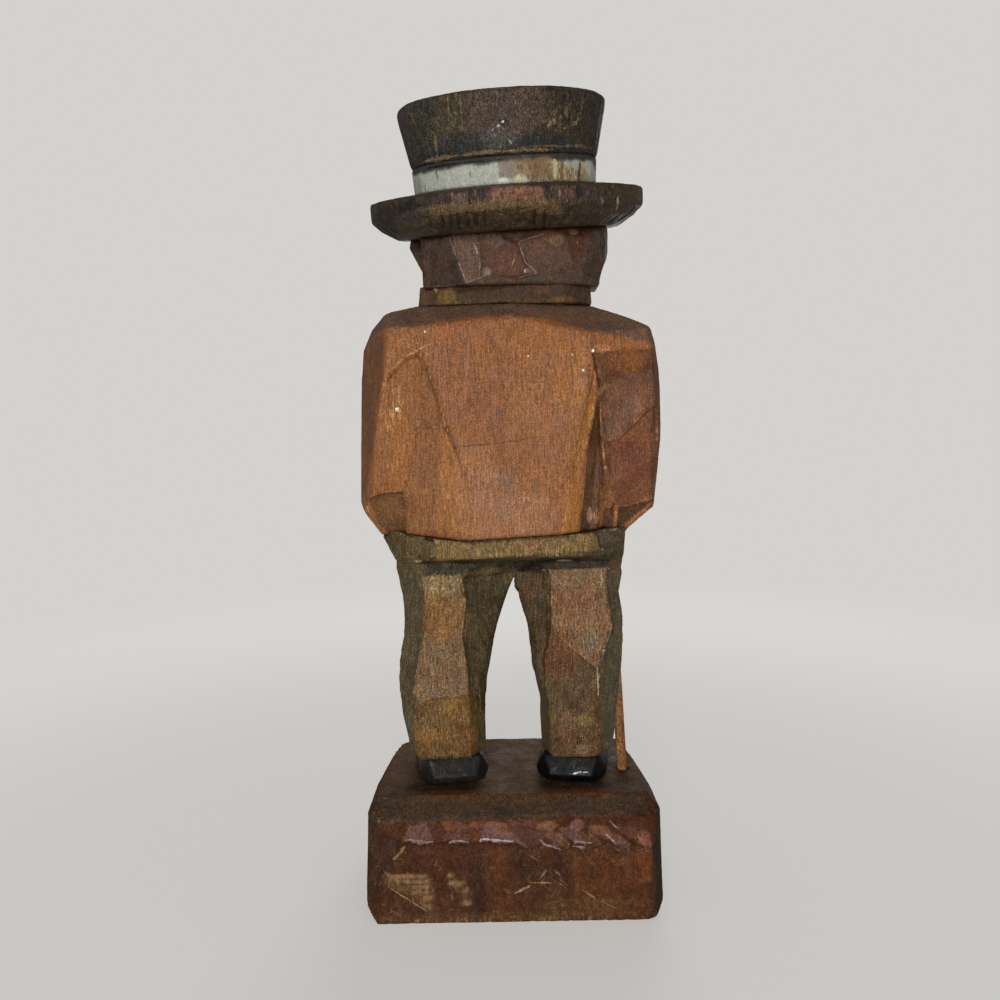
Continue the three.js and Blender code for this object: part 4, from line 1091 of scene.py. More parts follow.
# Where each slanting bite is, and how long
slanting_bites = (
    (-6.2, 15.5, 13.3, 4.4),
    (-8.7, 15.1, 13.7, 5.2),
    (-11, 15.8, 13.3, 4.6),
    (-13.6, 15, 13.9, 5.4),
    (-15.8, 15.9, 13.3, 5.0),
    (-18.1, 15, 13.8, 5.2),
    (-20.1, 15.7, 13.1, 4.6),
)


def chamfer_cuts():
    """The gouge's bites along the chamfer: level ones on the left, slanting ones on the right."""
    chamfer_facing = (0, 0.74, 0.67)
    cuts = [flat_facet(*cut) for cut in (
        # The flat margin between the top and the chamfer
        ([(22.8, 18.7), (5.7, 17.7), (-21.5, 17.6), (-22.6, 15.8), (2.3, 15.6), (23.9, 15.2)],
         (0, 0.5, 0.87), tone(76, 63, 54), 0.85, 0, 0.2),
        # The first bite on the left, purple and deep
        ([(18.4, 13.1), (18, 14.4), (17.3, 15.1), (14.6, 15.7), (13.9, 14.5), (13.2, 13.1)],
         (0.16, 0.8, 0.56), purple_scoop, 0.95, 0.4),
        # The second bite, red
        ([(14.6, 15.7), (12.8, 15.3), (10.9, 14.2), (12, 12.9), (13.2, 13.1), (13.9, 14.5)],
         (-0.2, 0.76, 0.62), red_scoop, 0.85, 0.1),
        # The foot of the second bite, deeper
        ([(12, 12.9), (10.9, 14.2), (8.8, 13.9), (6.6, 12.9)],
         (0.1, 0.78, 0.6), tone(110, 74, 68), 0.9, 0.35),
        # The long shallow bites above them
        ([(12.8, 15.3), (2, 15.4), (1.2, 14.3), (5.7, 14.5), (8.8, 14), (10.9, 14.2)],
         chamfer_facing, pink_scoop, 0.85, 0.05),
        # A sliver of red between two bites
        ([(8.8, 13.9), (5.8, 14.4), (5.6, 12.9), (6.6, 12.9)],
         (-0.2, 0.76, 0.62), tone(112, 66, 44), 0.85, 0.15),
        # The widest bite, purple
        ([(5.8, 13), (5.7, 14.3), (3.7, 14.6), (0.5, 14.1), (-2.6, 12.1), (-0.2, 12.8)],
         (0.08, 0.72, 0.7), tone(126, 92, 90), 0.95, 0.5),
        # The last level bite, where the slanting ones begin
        ([(2, 15.4), (-5.3, 15.2), (-6.2, 14), (-4.4, 12.6), (-2.6, 12.1), (0.5, 14.1)],
         chamfer_facing, tone(100, 68, 62), 0.85, 0.2),
    )]
    tones = (tone(134, 90, 74), purple_scoop, tone(104, 66, 52))
    for step, (x, y, z, length) in enumerate(slanting_bites):
        cuts.append(scooped((x, y, z), bite_facing, bite_run, length, bite_width, bite_depth,
                            tones[step % len(tones)], 0.85))
    return cuts


scuff_tone = tone(156, 126, 94)
scuff_half_height = 0.42
# Each pale streak of the scuffs: how far across, how far up and half of how wide
scuff_streaks = (
    (17.8, 8.1, 3.6), (16.2, 7.2, 2.4), (15.5, 6.3, 2.0), (15.4, 5.4, 1.6), (14.5, 4.3, 1.0),
    (14.3, 2.8, 0.6), (19.1, 7.4, 0.7), (10.6, 8.2, 0.5), (9.6, 6.8, 1.5), (8, 5.6, 0.6),
    (8, 3.4, 0.8),
)
base_red = tone(84, 47, 29)
carve_piece(
    "base_block", ["base"], base_stain, 0.3, (base_red, tone(74, 43, 29)),
    touches=[
        # The top, and its shaded end
        ((0, -2, 18.5), (40, 16.5, 2.2), tone(100, 73, 49), 0.9),
        ((-24, 0, 18.5), (8, 12, 2.2), tone(60, 50, 40), 0.6),
        # Shadows and red wood behind the shoes
        ((12, 6.6, 18.2), (7.4, 2.4, 1.5), tone(36, 34, 28), 0.8),
        ((-11, 6.6, 18.2), (7.4, 2.4, 1.5), tone(36, 34, 30), 0.8),
        ((11, 9.0, 18), (5, 1.3, 1.5), tone(112, 66, 42), 0.6),
        ((-13, 9.0, 18), (4, 1.3, 1.5), tone(112, 62, 44), 0.6),
        # Pale spots on the bites
        ((-5.6, 14.2, 14.6), (1.6, 2, 0.7), tone(168, 122, 88), 0.6),
        ((-10.4, 14.3, 14.8), (1.2, 2, 0.7), tone(168, 116, 104), 0.6),
        ((2.8, 14.4, 14.9), (1.6, 2, 0.5), tone(150, 108, 96), 0.5),
        # The rubbed foot, and painted shade on the right side
        ((2.6, 17, 0.9), (26, 2, 0.9), tone(100, 76, 46), 0.5),
        ((-11.3, 17, 2.6), (7, 2, 1.6), tone(108, 80, 50), 0.4),
        ((-24.4, 12, 8), (1.6, 6, 12), tone(54, 40, 36), 0.85),
    ] + [
        ((across, 17, up), (half_width, 2, scuff_half_height), scuff_tone, 0.6)
        for across, up, half_width in scuff_streaks
    ],
    panels=[
        # The dark margin on the left, outside the long panel
        ([(26.9, 18), (19.1, 13.1), (18, 12.6), (19.7, 10.8), (19.2, 9.8), (21.1, 7.1), (22, 4.8),
          (23.1, 2.4), (23.9, -1.4), (27.5, -1.3)], tone(60, 41, 32), 0.85),
        # The red corner above it
        ([(22.9, 15.7), (19.4, 13), (20, 10.8), (23.4, 9.5)], tone(86, 52, 44), 0.5),
        # The long scuff
        ([(21.9, 7.8), (18, 8.5), (13.8, 8.6), (13.4, 5.4), (13.6, 1.8), (14.9, 2.6), (17, 4.6),
          (21.5, 6.4)], tone(122, 96, 66), 0.45),
        # The short scuff
        ([(11.2, 8.6), (10.2, 8.4), (8.3, 6.9), (7.2, 5.8), (6.9, 2.8), (8.7, 3), (8.8, 5.6),
          (11, 6.7)], tone(120, 96, 68), 0.4),
        # A dark band of grain
        ([(7.7, 12.3), (5, 12.6), (4.9, 0.2), (7.5, 0.3)], tone(48, 32, 28), 0.65),
        # The red band beside it
        ([(5, 12.6), (1.1, 12.4), (0.6, 0.1), (4.9, 0.2)], tone(96, 55, 33), 0.6),
        # The dark patch in the middle
        ([(1.1, 12.4), (-7.3, 11.8), (-8.2, 6.6), (-0.8, 7.1)], tone(60, 37, 30), 0.55),
        # The red field on the right
        ([(-9.3, 11.6), (-20.3, 11.4), (-21.9, 0.8), (-9.8, 1)], tone(98, 57, 33), 0.55),
        # Its orange edge
        ([(-19.4, 12.2), (-22, 11.4), (-22.2, 6.7), (-20.8, 6)], tone(124, 70, 36), 0.6),
        # The dark margin on the right
        ([(-22, 11.4), (-25.4, 14.5), (-25.4, -1.7), (-21.4, -1.6), (-22.6, 2.4), (-23.2, 6.2)],
         tone(48, 36, 32), 0.85),
    ],
    worn=[
        ((17.6, 17, 7), (4.6, 3, 1.9), 0.5),
        ((15, 17, 5), (2.8, 3, 3), 0.48),
        ((8.7, 17, 5.4), (2.6, 3, 3), 0.45),
        ((-12.1, 17, 2.6), (9, 3, 2.0), 0.4),
        ((2.6, 17, 0.5), (26, 3, 0.8), 0.5),
    ],
    wear=0.1, cuts=chamfer_cuts(), chips=0.5, knife=0.07, seed=21)

# The coat, its sleeves carved in one with it

speck = tone(240, 232, 214)
scar_pale = tone(192, 142, 98)
crack_dark = tone(62, 36, 22)
coat_paint = painted_wood(
    "painted_coat", bare=tone(190, 136, 84), dark=tone(44, 26, 16), rubbing=0.5, dirt=0.75,
    streak=(0.8, 8.0), streaks=0.2, pores=0.2, mottle=0.12, grit=0.54, highlight_flecks=0.22, fibres=0.2,
    drift=0.3, seed=2.0,
    lines=[
        # Scars at the top of the left sleeve
        ((19.5, 89.9), (16.5, 92.3), 0.28, scar_pale, 0.6),
        ((16.5, 92.3), (12, 94.4), 0.34, scar_pale, 0.5),
        ((14.7, 95.7), (14.1, 93.3), 0.25, scar_pale, 0.6),
        ((13.8, 92), (11.2, 93.3), 0.25, scar_pale, 0.4),
        # A fine crack across the back
        ((8.8, 77.5), (1.2, 78), 0.3, crack_dark, 0.5),
        ((1.2, 78), (-5.3, 79), 0.3, crack_dark, 0.4),
        # The pale ridge down the left sleeve
        ((19.7, 89.4), (21.7, 81.4), 0.22, scar_pale, 0.45),
        ((21.7, 81.4), (23.4, 71.4), 0.22, scar_pale, 0.45),
        # Painted shade at the top of the right crease
        ((-14, 93), (-15.2, 86.8), 0.6, tone(50, 32, 22), 0.9),
        # A nick beside it
        ((-16.9, 92.9), (-15.5, 92.9), 0.3, tone(206, 140, 100), 0.7),
        # Pale specks
        dot((13.1, 96.2), 0.4, speck, 1.0),
        dot((18.2, 83.9), 0.66, speck, 1.0),
        dot((-14.1, 92.7), 0.66, speck, 0.9),
        dot((-12.5, 89.6), 0.56, speck, 1.0),
        dot((-3.6, 92), 0.44, speck, 0.9),
        dot((-10.7, 92.1), 0.4, speck, 0.8),
    ])
coat_own = ["coat", "left_sleeve", "right_sleeve"]
coat_cuts = [flat_facet(*cut) for cut in (
    # The left sleeve, from the shoulder down to the elbow
    ([(19.5, 89.9), (16.5, 92.3), (14.3, 93.2), (14.1, 90.4), (14.8, 85.3), (15.6, 78.8),
      (16.6, 73.8), (17.8, 69.9), (23.3, 69.1), (23.1, 72.2), (22.2, 78.1), (21, 84.7)],
     (0.16, 1, -0.03), tone(144, 92, 51), 0.85, 0.25),
    # The left forearm, where it turns in to the pocket
    ([(24.7, 68.9), (24.2, 67.4), (22.8, 64.6), (20.9, 62.7), (18.7, 61.8), (17.7, 64),
      (17.4, 70.2), (21.8, 69.7), (24, 69.1)], (0.3, 1, -0.35), tone(100, 70, 45), 0.85, 0.1, -0.2),
    # The hollow between the left sleeve and the back
    ([(14.3, 93.2), (13.5, 91.4), (12.3, 88.1), (11.4, 84.9), (10.4, 81.3), (11.1, 73.7),
      (11.4, 68.7), (11.9, 63.3), (17, 63.5), (17.8, 69.9), (16.6, 73.8), (15.6, 78.8),
      (14.8, 85.3), (14.1, 90.4)], (0.3, 1, 0.02), tone(134, 90, 56), 0.85, 0.3),
    # The back's left end, below its long crease
    ([(10.4, 81.3), (9.1, 78.3), (7.9, 75), (6.5, 70.4), (6.5, 62.8), (11.9, 63.3), (11.4, 68.7),
      (11.1, 73.7)], (0.28, 1, 0.02), tone(156, 102, 56), 0.85, 0.22),
    # The pale strip on the left of the right crease
    ([(-14.4, 89.6), (-12.9, 83.4), (-11.4, 78), (-10.5, 71.7), (-9.3, 67.6), (-8.4, 63.4),
      (-11.7, 63.1), (-12, 70), (-11.7, 74.7), (-12.9, 78.3), (-14.2, 82.9)],
     (-0.5, 1, 0.02), tone(160, 104, 50), 0.9, 0.25),
    # The right crease itself, cut deep and painted dark as shade
    ([(-14.0, 92.8), (-14.8, 92.6), (-15.6, 86.2), (-14.4, 82.9), (-13.1, 78.3), (-11.9, 74.7),
      (-12, 70), (-11.7, 63.1), (-15.4, 62.9), (-15.5, 68.2), (-15.6, 74.9), (-15.4, 79.9),
      (-15.5, 84.8)], (0.2, 1, 0), tone(78, 54, 37), 0.9, 0.45, -0.3),
    # The foot of the right crease, painted dark as shade
    ([(-15.6, 78.2), (-16.1, 73.2), (-17.5, 69.4), (-18.3, 67.2), (-18.2, 63.1), (-15.6, 62.9),
      (-15.5, 68.2)], (0.1, 1, 0), tone(84, 58, 48), 0.85, 0.3, -0.3),
    # The slope of the right shoulder
    ([(-14.3, 92.5), (-22.1, 93.2), (-24.2, 93.4), (-24.8, 89.3), (-23.8, 87), (-18.7, 88),
      (-15.7, 87), (-15, 89.3)], (-0.22, 1, 0.1), tone(88, 51, 32), 0.9, 0.1),
    # The leaf-shaped facet on the right upper arm
    ([(-15.4, 85), (-16.5, 87), (-20.1, 89), (-25.1, 90.2), (-25.2, 84.1), (-22.3, 80.8),
      (-19.4, 78.7), (-16.7, 78), (-16, 79.2)],
     (-0.1, 1, -0.14), tone(104, 68, 54), 0.9, 0.2, 0.15, 1.1),
    # The right sleeve below it
    ([(-16.1, 77.9), (-18.7, 78.5), (-21.1, 80.5), (-23.1, 82.7), (-25.4, 84.5), (-24.9, 68),
      (-18.8, 67.1), (-17.5, 69.7), (-16.6, 73.5)],
     (-0.2, 1, -0.02), tone(112, 66, 47), 0.85, 0.15),
    # The right sleeve's underside, in shadow
    ([(-18.9, 66.7), (-25, 67.7), (-21, 64), (-18.7, 62.9)],
     (-0.3, 1, -0.4), tone(50, 32, 26), 0.95, 0.1, -0.2),
)]
carve_piece(
    "coat_with_sleeves", coat_own, coat_paint, 0.32,
    (tone(146, 94, 58), tone(142, 90, 54)),
    touches=[
        # Clouds of darker and paler tone over the back and the hem
        ((1.0, 11.2, 84), (0.8, 2, 24), tone(104, 68, 46), 0.4),
        ((0.2, 11.2, 69), (2.6, 2, 5), tone(128, 98, 76), 0.55),
        ((3, 11.2, 66), (8, 2, 5), tone(164, 116, 84), 0.5),
        ((-4, 11.2, 66), (4, 2, 4), tone(160, 112, 78), 0.5),
        ((3, 11.2, 83), (4, 2, 4), tone(138, 86, 56), 0.4),
        ((-4, 11.2, 95), (8, 2, 4), tone(148, 92, 48), 0.6),
        ((-10, 11.2, 90), (3, 2, 6), tone(160, 104, 56), 0.5),
        # The sleeves' edges, a chip at the hem, a painted sheen on the right elbow and the painted
        # shadows beside it
        ((19.7, 8, 64), (3, 5, 1.6), tone(92, 70, 40), 0.6),
        ((-25.6, 3, 78), (1.6, 9, 16), tone(76, 50, 36), 0.7),
        ((-15.0, 10, 64.4), (1.0, 3, 1.2), tone(206, 170, 146), 0.6),
        ((-20.9, 9.3, 83.4), (2.0, 3, 2.0), tone(132, 98, 84), 0.5),
        ((-19.6, 9, 64.6), (2.2, 4, 1.6), tone(54, 36, 28), 0.8),
        ((-17.7, 9, 66.3), (1.7, 3, 2.2), tone(72, 46, 37), 0.85),
        # Rubbed wood on the back, and the right sleeve's spots, one of them a painted sheen
        ((6.3, 11, 72.4), (5, 2, 6), tone(172, 124, 92), 0.35),
        ((-5.4, 11, 83.3), (5, 2, 5), tone(164, 112, 74), 0.3),
        ((-25.2, 3, 90), (1.6, 9, 5), tone(84, 52, 38), 0.7),
        ((-12, 11.2, 84), (1.8, 2, 9), tone(158, 108, 66), 0.4),
        ((4, 11.2, 86), (1.6, 2, 3), tone(116, 74, 52), 0.4),
        ((-17.8, 9.8, 79.8), (1.4, 3, 1.4), tone(146, 108, 90), 0.5),
        ((-20.1, 9.6, 91.3), (3.4, 3, 2.4), tone(140, 86, 44), 0.5),
        # The right crease from top to foot, painted dark as shade, and beside its foot a painted
        # highlight and a splinter
        ((-17.4, 9, 82.4), (0.5, 3, 3.6), tone(70, 46, 36), 0.6),
        ((-15.5, 9, 84), (0.9, 4, 7), tone(72, 47, 34), 0.6),
        ((-16.4, 9, 73), (1.1, 4, 8), tone(72, 50, 40), 0.7),
        ((-18.2, 9, 65.6), (1.7, 4, 3.6), tone(70, 48, 38), 0.8),
        ((-13.7, 8.2, 65.6), (0.7, 3, 1.4), tone(200, 156, 120), 0.6),
        ((-15.3, 9, 65), (0.7, 3, 1.0), tone(150, 112, 84), 0.5),
        # Gold below the collar, red on the right sleeve and a nick
        ((7, 11, 96), (6, 2, 3), tone(146, 88, 50), 0.6),
        ((-21.6, 8, 74), (3.2, 3, 5), tone(104, 58, 46), 0.6),
        ((-15.6, 10, 93.3), (1.4, 3, 0.6), tone(180, 120, 80), 0.6),
    ],
    panels=[
        # Painted shade in the crease between the left sleeve and the back
        ([(14.1, 93.5), (13.2, 91), (12.2, 88), (11.3, 84.7), (10, 81.3), (8.8, 78.6), (7.7, 76.3),
          (8.2, 76.2), (9.4, 78.3), (10.8, 81.1), (12.1, 84.6), (13, 87.8), (14, 90.7)],
         tone(46, 28, 18), 0.9),
        # The left sleeve's outer side, painted darker as shade
        ([(26.4, 96.8), (20, 96.2), (20.1, 90.5), (21.5, 85.4), (22.7, 78.4), (23.9, 72.1),
          (24.5, 68.9), (27.3, 69)], tone(100, 67, 45), 0.85),
        # The left shoulder, painted dark as shade
        ([(25.9, 94.9), (21.7, 96.8), (17.5, 97), (9.2, 97.7), (0.9, 98.7), (-2.4, 98.6),
          (-2.5, 102.3), (12.4, 102.6), (25.7, 100.5)], tone(80, 68, 61), 0.9),
        # The right shoulder, painted dark as shade
        ([(-2.4, 98.6), (-6.5, 98.1), (-11.3, 96.7), (-15.4, 95.4), (-22.1, 94.5), (-26, 93.8),
          (-26, 99.6), (-15.8, 102), (-2.5, 102.3)], tone(88, 70, 62), 0.9),
    ],
    cuts=coat_cuts,
    worn=[
        ((-15.6, 9, 65), (2.4, 3, 3), 0.6),
        ((10, 11, 72), (4, 3, 9), 0.45),
        ((19, 9, 80), (3, 3, 9), 0.5),
    ],
    wear=0.16, soften=1, seed=31,
    extend=[
        # Each sleeve's inner side runs into the body of the coat
        ((-1, 0, -0.08), 0.5, lambda place: 13 < place.x < 18.5),
        ((1, 0, -0.08), 0.5, lambda place: -18.5 < place.x < -13),
    ])

# The trousers, both legs carved in one with the seat

stroke_dark = tone(84, 66, 38)
trouser_paint = painted_wood(
    "painted_trousers", bare=tone(178, 152, 112), dark=tone(24, 22, 14), rubbing=0.5, dirt=0.9,
    streak=(0.5, 7.0), streaks=0.5, pores=0.3, grit=0.7, mottle=0.16, fibres=0.34,
    drift=0.5, bump=0.8, flake=(0.2, 2.4), seed=4.0,
    lines=[
        # The pale ridges round the right calf
        ((-14.8, 39.3), (-15, 33.9), 0.34, tone(182, 156, 122), 0.7),
        ((-8.6, 44.5), (-14.6, 39.3), 0.22, tone(170, 140, 104), 0.45),
        # Dark strokes at the top of the left leg
        ((14, 55), (14.3, 51.3), 0.3, stroke_dark, 0.6),
        ((11.8, 55.2), (12, 52), 0.34, stroke_dark, 0.6),
        ((10.4, 55), (10.3, 53), 0.3, tone(92, 72, 42), 0.5),
        # A pale stroke at the top of the right leg
        ((-15.8, 55.7), (-15.9, 53.7), 0.3, tone(184, 166, 128), 0.6),
        # The pale ridge inside the left calf
        ((5.6, 35.5), (5.5, 30.5), 0.24, tone(160, 132, 86), 0.5),
        # The pale ridges round the left knee
        ((15.6, 44), (16.3, 38.1), 0.2, tone(168, 136, 96), 0.45),
        ((17.1, 35.7), (14.2, 38.2), 0.2, tone(164, 134, 104), 0.4),
        # The left end of the seat's pale strip
        ((12.3, 61.9), (12.5, 59.2), 0.3, tone(150, 130, 84), 0.5),
    ])
trouser_own = ["trouser_seat", "left_trouser_leg", "right_trouser_leg"]
trouser_cuts = [flat_facet(*cut) for cut in (
    # The pale strip of the seat
    ([(12.3, 62), (-14.4, 63.4), (-15.3, 60.1), (1.6, 59.3), (12.3, 58.6)],
     (0, 1, -0.05), tone(128, 102, 58), 0.85, 0, 0.3),
    # Its left end, turned away and painted darker as shade
    ([(21, 63.8), (12.3, 62), (12.3, 58.6), (19.1, 58.7)],
     (0.4, 1, -0.1), tone(90, 75, 44), 0.85, 0.1, 0.3),
    # Its right end, turned away and painted darker as shade
    ([(-14.6, 63.2), (-19.7, 64.1), (-19, 59.4), (-15.3, 60.1)],
     (-0.5, 1, -0.1), tone(74, 64, 56), 0.85, 0.1, 0.3),
    # The pale facet at the top of the left leg
    ([(15.1, 55.4), (8.3, 55.7), (8.4, 52.8), (9.9, 51.8), (12, 51.6), (12.5, 51.1), (14.6, 50.7)],
     (0.05, 1, 0.2), tone(146, 120, 80), 0.85, 0.05),
    # The left thigh and knee
    ([(14.6, 50.7), (12.5, 51.1), (12, 51.6), (9.9, 51.8), (8.4, 52.8), (7.4, 50.9), (8.2, 45),
      (7.7, 41.8), (7.2, 35), (9.8, 34.3), (12.2, 34.4), (13.2, 36.5), (14.3, 38.2), (16.3, 37.9),
      (16, 40.9), (15.3, 44), (14.2, 48.2)], (0.03, 1, 0), tone(128, 97, 67), 0.85, 0.16),
    # The small facet on the outside of the left knee
    ([(16.3, 37.9), (14.3, 38.2), (13.2, 36.5), (12.2, 34.4), (14.1, 33.9), (15.9, 33.7),
      (17.1, 35.6)], (0.1, 1, -0.08), tone(130, 104, 80), 0.85, 0.12),
    # The left calf, golden
    ([(15.9, 33.7), (12.2, 34.4), (9.8, 34.3), (7.2, 35), (5.7, 31.8), (5.1, 27.2), (6, 23.3),
      (16.9, 23.5), (17.3, 28.8)], (0.03, 1, -0.08), tone(111, 78, 36), 0.85, 0.08),
    # The left leg's inner side, painted dark as the shade between the legs
    ([(8.3, 55.4), (-0.4, 55.6), (1.7, 49.2), (3.6, 41.3), (4.3, 33.4), (4.8, 26.2), (5.8, 30.5),
      (7.2, 35), (7.7, 41.8), (8.2, 45), (7.4, 50.9)], (-0.45, 1, 0), tone(60, 48, 28), 0.9, 0.12),
    # The left leg's outer side
    ([(20.1, 57.6), (15.1, 55.4), (14.2, 48.2), (16.4, 40.1), (17.4, 34.7), (17.5, 22), (19.7, 33),
      (19.9, 38), (18.7, 43.7), (18.4, 50.5)], (0.6, 0.8, 0), tone(82, 72, 52), 0.85, 0.1),
    # The pale facet at the top of the right leg
    ([(-6.8, 56.2), (-16.7, 56.2), (-16.6, 52.6), (-6.7, 52.8)],
     (-0.05, 1, 0.2), tone(134, 102, 72), 0.85, 0.05),
    # The right thigh, which ends in a point
    ([(-6.7, 52.8), (-16.6, 52.6), (-17.3, 46.4), (-16.1, 43.1), (-14.8, 39.2), (-11.2, 42.4),
      (-8.5, 44.5), (-7.1, 47)], (-0.08, 1, 0.05), tone(136, 98, 68), 0.85, 0.15),
    # The right calf, cut deeper than the thigh
    ([(-6.8, 45.6), (-8.5, 44.5), (-11.2, 42.4), (-14.8, 39.2), (-14.8, 33), (-13.6, 31),
      (-8.7, 30.5), (-6.8, 32.3), (-6, 34.7), (-5.9, 41.5)],
     (0.055, 1, -0.035), tone(84, 61, 38), 0.9, 0.21),
    # The right ankle
    ([(-8.7, 30.5), (-13.6, 31), (-15.3, 30.4), (-17.1, 25.5), (-16.2, 22.9), (-6.8, 23),
      (-6.4, 26.2), (-7, 29.4)], (-0.02, 1, -0.1), tone(89, 61, 39), 0.85, 0.1),
    # The right leg's inner side, painted dark as the shade between the legs
    ([(-0.4, 55.5), (-6.8, 56), (-7.1, 47), (-5.9, 41.5), (-5.9, 34.5), (-5.1, 32.3), (-4.3, 35),
      (-3.4, 43.9), (-1.8, 50.9)], (0.45, 1, 0), tone(70, 53, 33), 0.9, 0.12),
    # The right leg's outer side
    ([(-16.7, 55.9), (-19.7, 55.5), (-19.4, 50.2), (-20.4, 45.7), (-19.6, 32.3), (-18.8, 21),
      (-16.7, 21.4), (-15.7, 29.4), (-15.2, 32), (-15.2, 38.1), (-16.5, 42.2), (-17.7, 45.8)],
     (-0.7, 0.75, 0), tone(80, 72, 54), 0.85, 0.1),
)]
carve_piece(
    "trousers_carved", trouser_own, trouser_paint, 0.28,
    (tone(88, 70, 40), tone(74, 62, 38)),
    touches=[
        # The undercut's green-black dirty paint and painted shade, the seat's end and two nicks
        ((11, 7.6, 55.9), (4.2, 2, 0.8), tone(24, 46, 26), 0.85),
        ((7.4, 7.6, 56.8), (2.6, 2, 0.9), tone(20, 30, 16), 0.8),
        ((-16.8, 9, 60.4), (1.0, 3, 2), tone(66, 58, 60), 0.4),
        ((11.2, 11, 58.6), (0.8, 2, 0.4), tone(206, 188, 140), 0.5),
        ((-9.4, 8, 58.0), (1.4, 4, 0.4), tone(210, 204, 192), 0.5),
        ((-3.4, 11, 61.2), (2.2, 2, 1.4), tone(136, 88, 50), 0.6),
        # Orange on the left thigh and the right calf
        ((11.2, 7.5, 48.4), (4.6, 3, 4.6), tone(134, 90, 44), 0.8),
        ((-8.4, 7, 41.4), (3.8, 3, 4.4), tone(96, 55, 27), 0.9),
        # The right leg: olive, red, pink and pale spots from the calf down, then the thigh
        ((-12.9, 6.8, 29.9), (1.5, 3, 1.4), tone(142, 118, 66), 0.6),
        ((-14.3, 7.1, 32.7), (0.7, 3, 0.9), tone(112, 58, 32), 0.5),
        ((-9.8, 6.7, 30.1), (1.5, 3, 0.5), tone(142, 92, 80), 0.5),
        ((-9.7, 6.4, 27), (1.6, 3, 2.2), tone(112, 68, 44), 0.6),
        ((-12.3, 6.4, 24.3), (1.4, 3, 1.0), tone(148, 120, 98), 0.6),
        ((-13.6, 7.3, 44), (1.6, 3, 2.6), tone(120, 108, 84), 0.6),
        ((-10.7, 6.9, 50.6), (3.6, 3, 2.6), tone(130, 82, 48), 0.6),
        ((-7.9, 7.1, 51), (1.2, 3, 3.0), tone(112, 62, 36), 0.5),
        # The left leg: gold, orange and grey spots
        ((10.3, 7.3, 32.9), (2.2, 3, 1.6), tone(140, 102, 42), 0.65),
        ((14.6, 7.1, 27.5), (1.8, 3, 1.8), tone(148, 98, 50), 0.6),
        ((7.7, 6.3, 27.1), (1.8, 3, 1.8), tone(134, 84, 48), 0.5),
        ((9.2, 7.8, 37.2), (2.0, 3, 2.0), tone(114, 84, 68), 0.4),
        ((12.7, 6.6, 49.9), (2.4, 3, 1.6), tone(122, 92, 40), 0.5),
        # Olive and brown on the legs' sides
        ((-16.7, 3.9, 27.2), (1.2, 4, 3.6), tone(76, 74, 46), 0.7),
        ((1.7, 3.4, 53.1), (1.8, 4, 1.6), tone(62, 60, 30), 0.6),
        ((-4.4, 5, 52.4), (2.4, 4, 2.4), tone(80, 54, 36), 0.6),
    ],
    panels=[
        # Painted shade and dirty paint in the undercut below the seat, on the left
        ([(15, 58.6), (0.7, 58.4), (0.4, 55.9), (3.3, 56.8), (8.2, 56.0), (14.4, 55.5)],
         tone(14, 16, 9), 0.95),
        # Painted shade and dirty paint in the undercut below the seat, on the right
        ([(0.7, 58.3), (-15.0, 59.1), (-18.0, 58.9), (-16.6, 56.3), (-9.0, 56.0), (-4.6, 55.5),
          (0.2, 55.4)], tone(22, 14, 10), 0.95),
    ],
    cuts=trouser_cuts,
    worn=[
        ((0, 11, 61), (16, 4, 2.4), 0.4),
        ((12, 7, 54), (5, 3, 2), 0.52),
        ((12, 7, 30), (5, 3, 5), 0.36),
        ((-12, 7, 46), (5, 3, 6), 0.34),
        ((-12, 7, 53.6), (5, 3, 1.6), 0.42),
        ((-12, 7, 29), (4, 3, 4), 0.4),
    ],
    wear=0.2, strokes=(30, 8, 5, 0.07), seed=41,
    extend=[
        # The legs' tops run into the seat, and the left leg's inner side into the right leg
        ((0, 0, 1), 0.5, lambda place: 56 < place.z < 58.2),
        ((-1, 0, 0), 0.5, lambda place: -1 < place.x < -0.6),
    ])

# The shoes

# The tone of a painted highlight
gleam = tone(226, 228, 232)
shoe_paint = painted_wood(
    "painted_shoes", bare=tone(60, 54, 46), dark=tone(8, 8, 9), shine=(0.3, 0.55), sheen=0.15,
    streaks=0.2, pores=0.2, patches=0.1, rubbing=0.3, dirt=0.5, bump=0.5, mottle=0.3, highlight_flecks=0.1,
    drift=0.3, seed=5.0,
    lines=[
        # A painted highlight: the gleam on the right heel
        ((-10.6, 19.8), (-12, 20.2), 0.36, gleam, 0.85),
        ((-12.3, 20.1), (-13.2, 20.2), 0.26, gleam, 0.7),
    ])
for side, black, seed in (("left", tone(34, 32, 30), 51), ("right", tone(8, 8, 9), 52)):
    carve_piece(
        f"{side}_shoe_painted", [f"{side}_shoe"], shoe_paint, 0.24,
        (black, black), wear=0.12, soften=7, knife=0.14, fibre=0.05, chips=0.2, seed=seed)

# The hat: it leans back and a little to one side, and it is oval from above

hat_lean_side = math.radians(2.8)
hat_lean_back = math.radians(-12.5)
tilt = Matrix.Rotation(hat_lean_side, 3, "Y") @ Matrix.Rotation(hat_lean_back, 3, "X")
hat_side, hat_back, hat_axis = (tilt.col[index] for index in range(3))
hat_middle = Vector((-0.8, 0.3, 114.6))
hat_oval = 0.76
chisel_ring = chisel_ring_tree()


def ring_on_hat(height, half, stops):
    """Places on a level line round the back of the hat, at stops across it, as the back shows."""
    drawn = []
    for across in stops:
        depth = hat_oval * math.sqrt(half ** 2 - across ** 2)
        place = hat_middle + hat_side * across + hat_back * depth + hat_axis * height
        drawn.append((place.x, place.z))
    return drawn


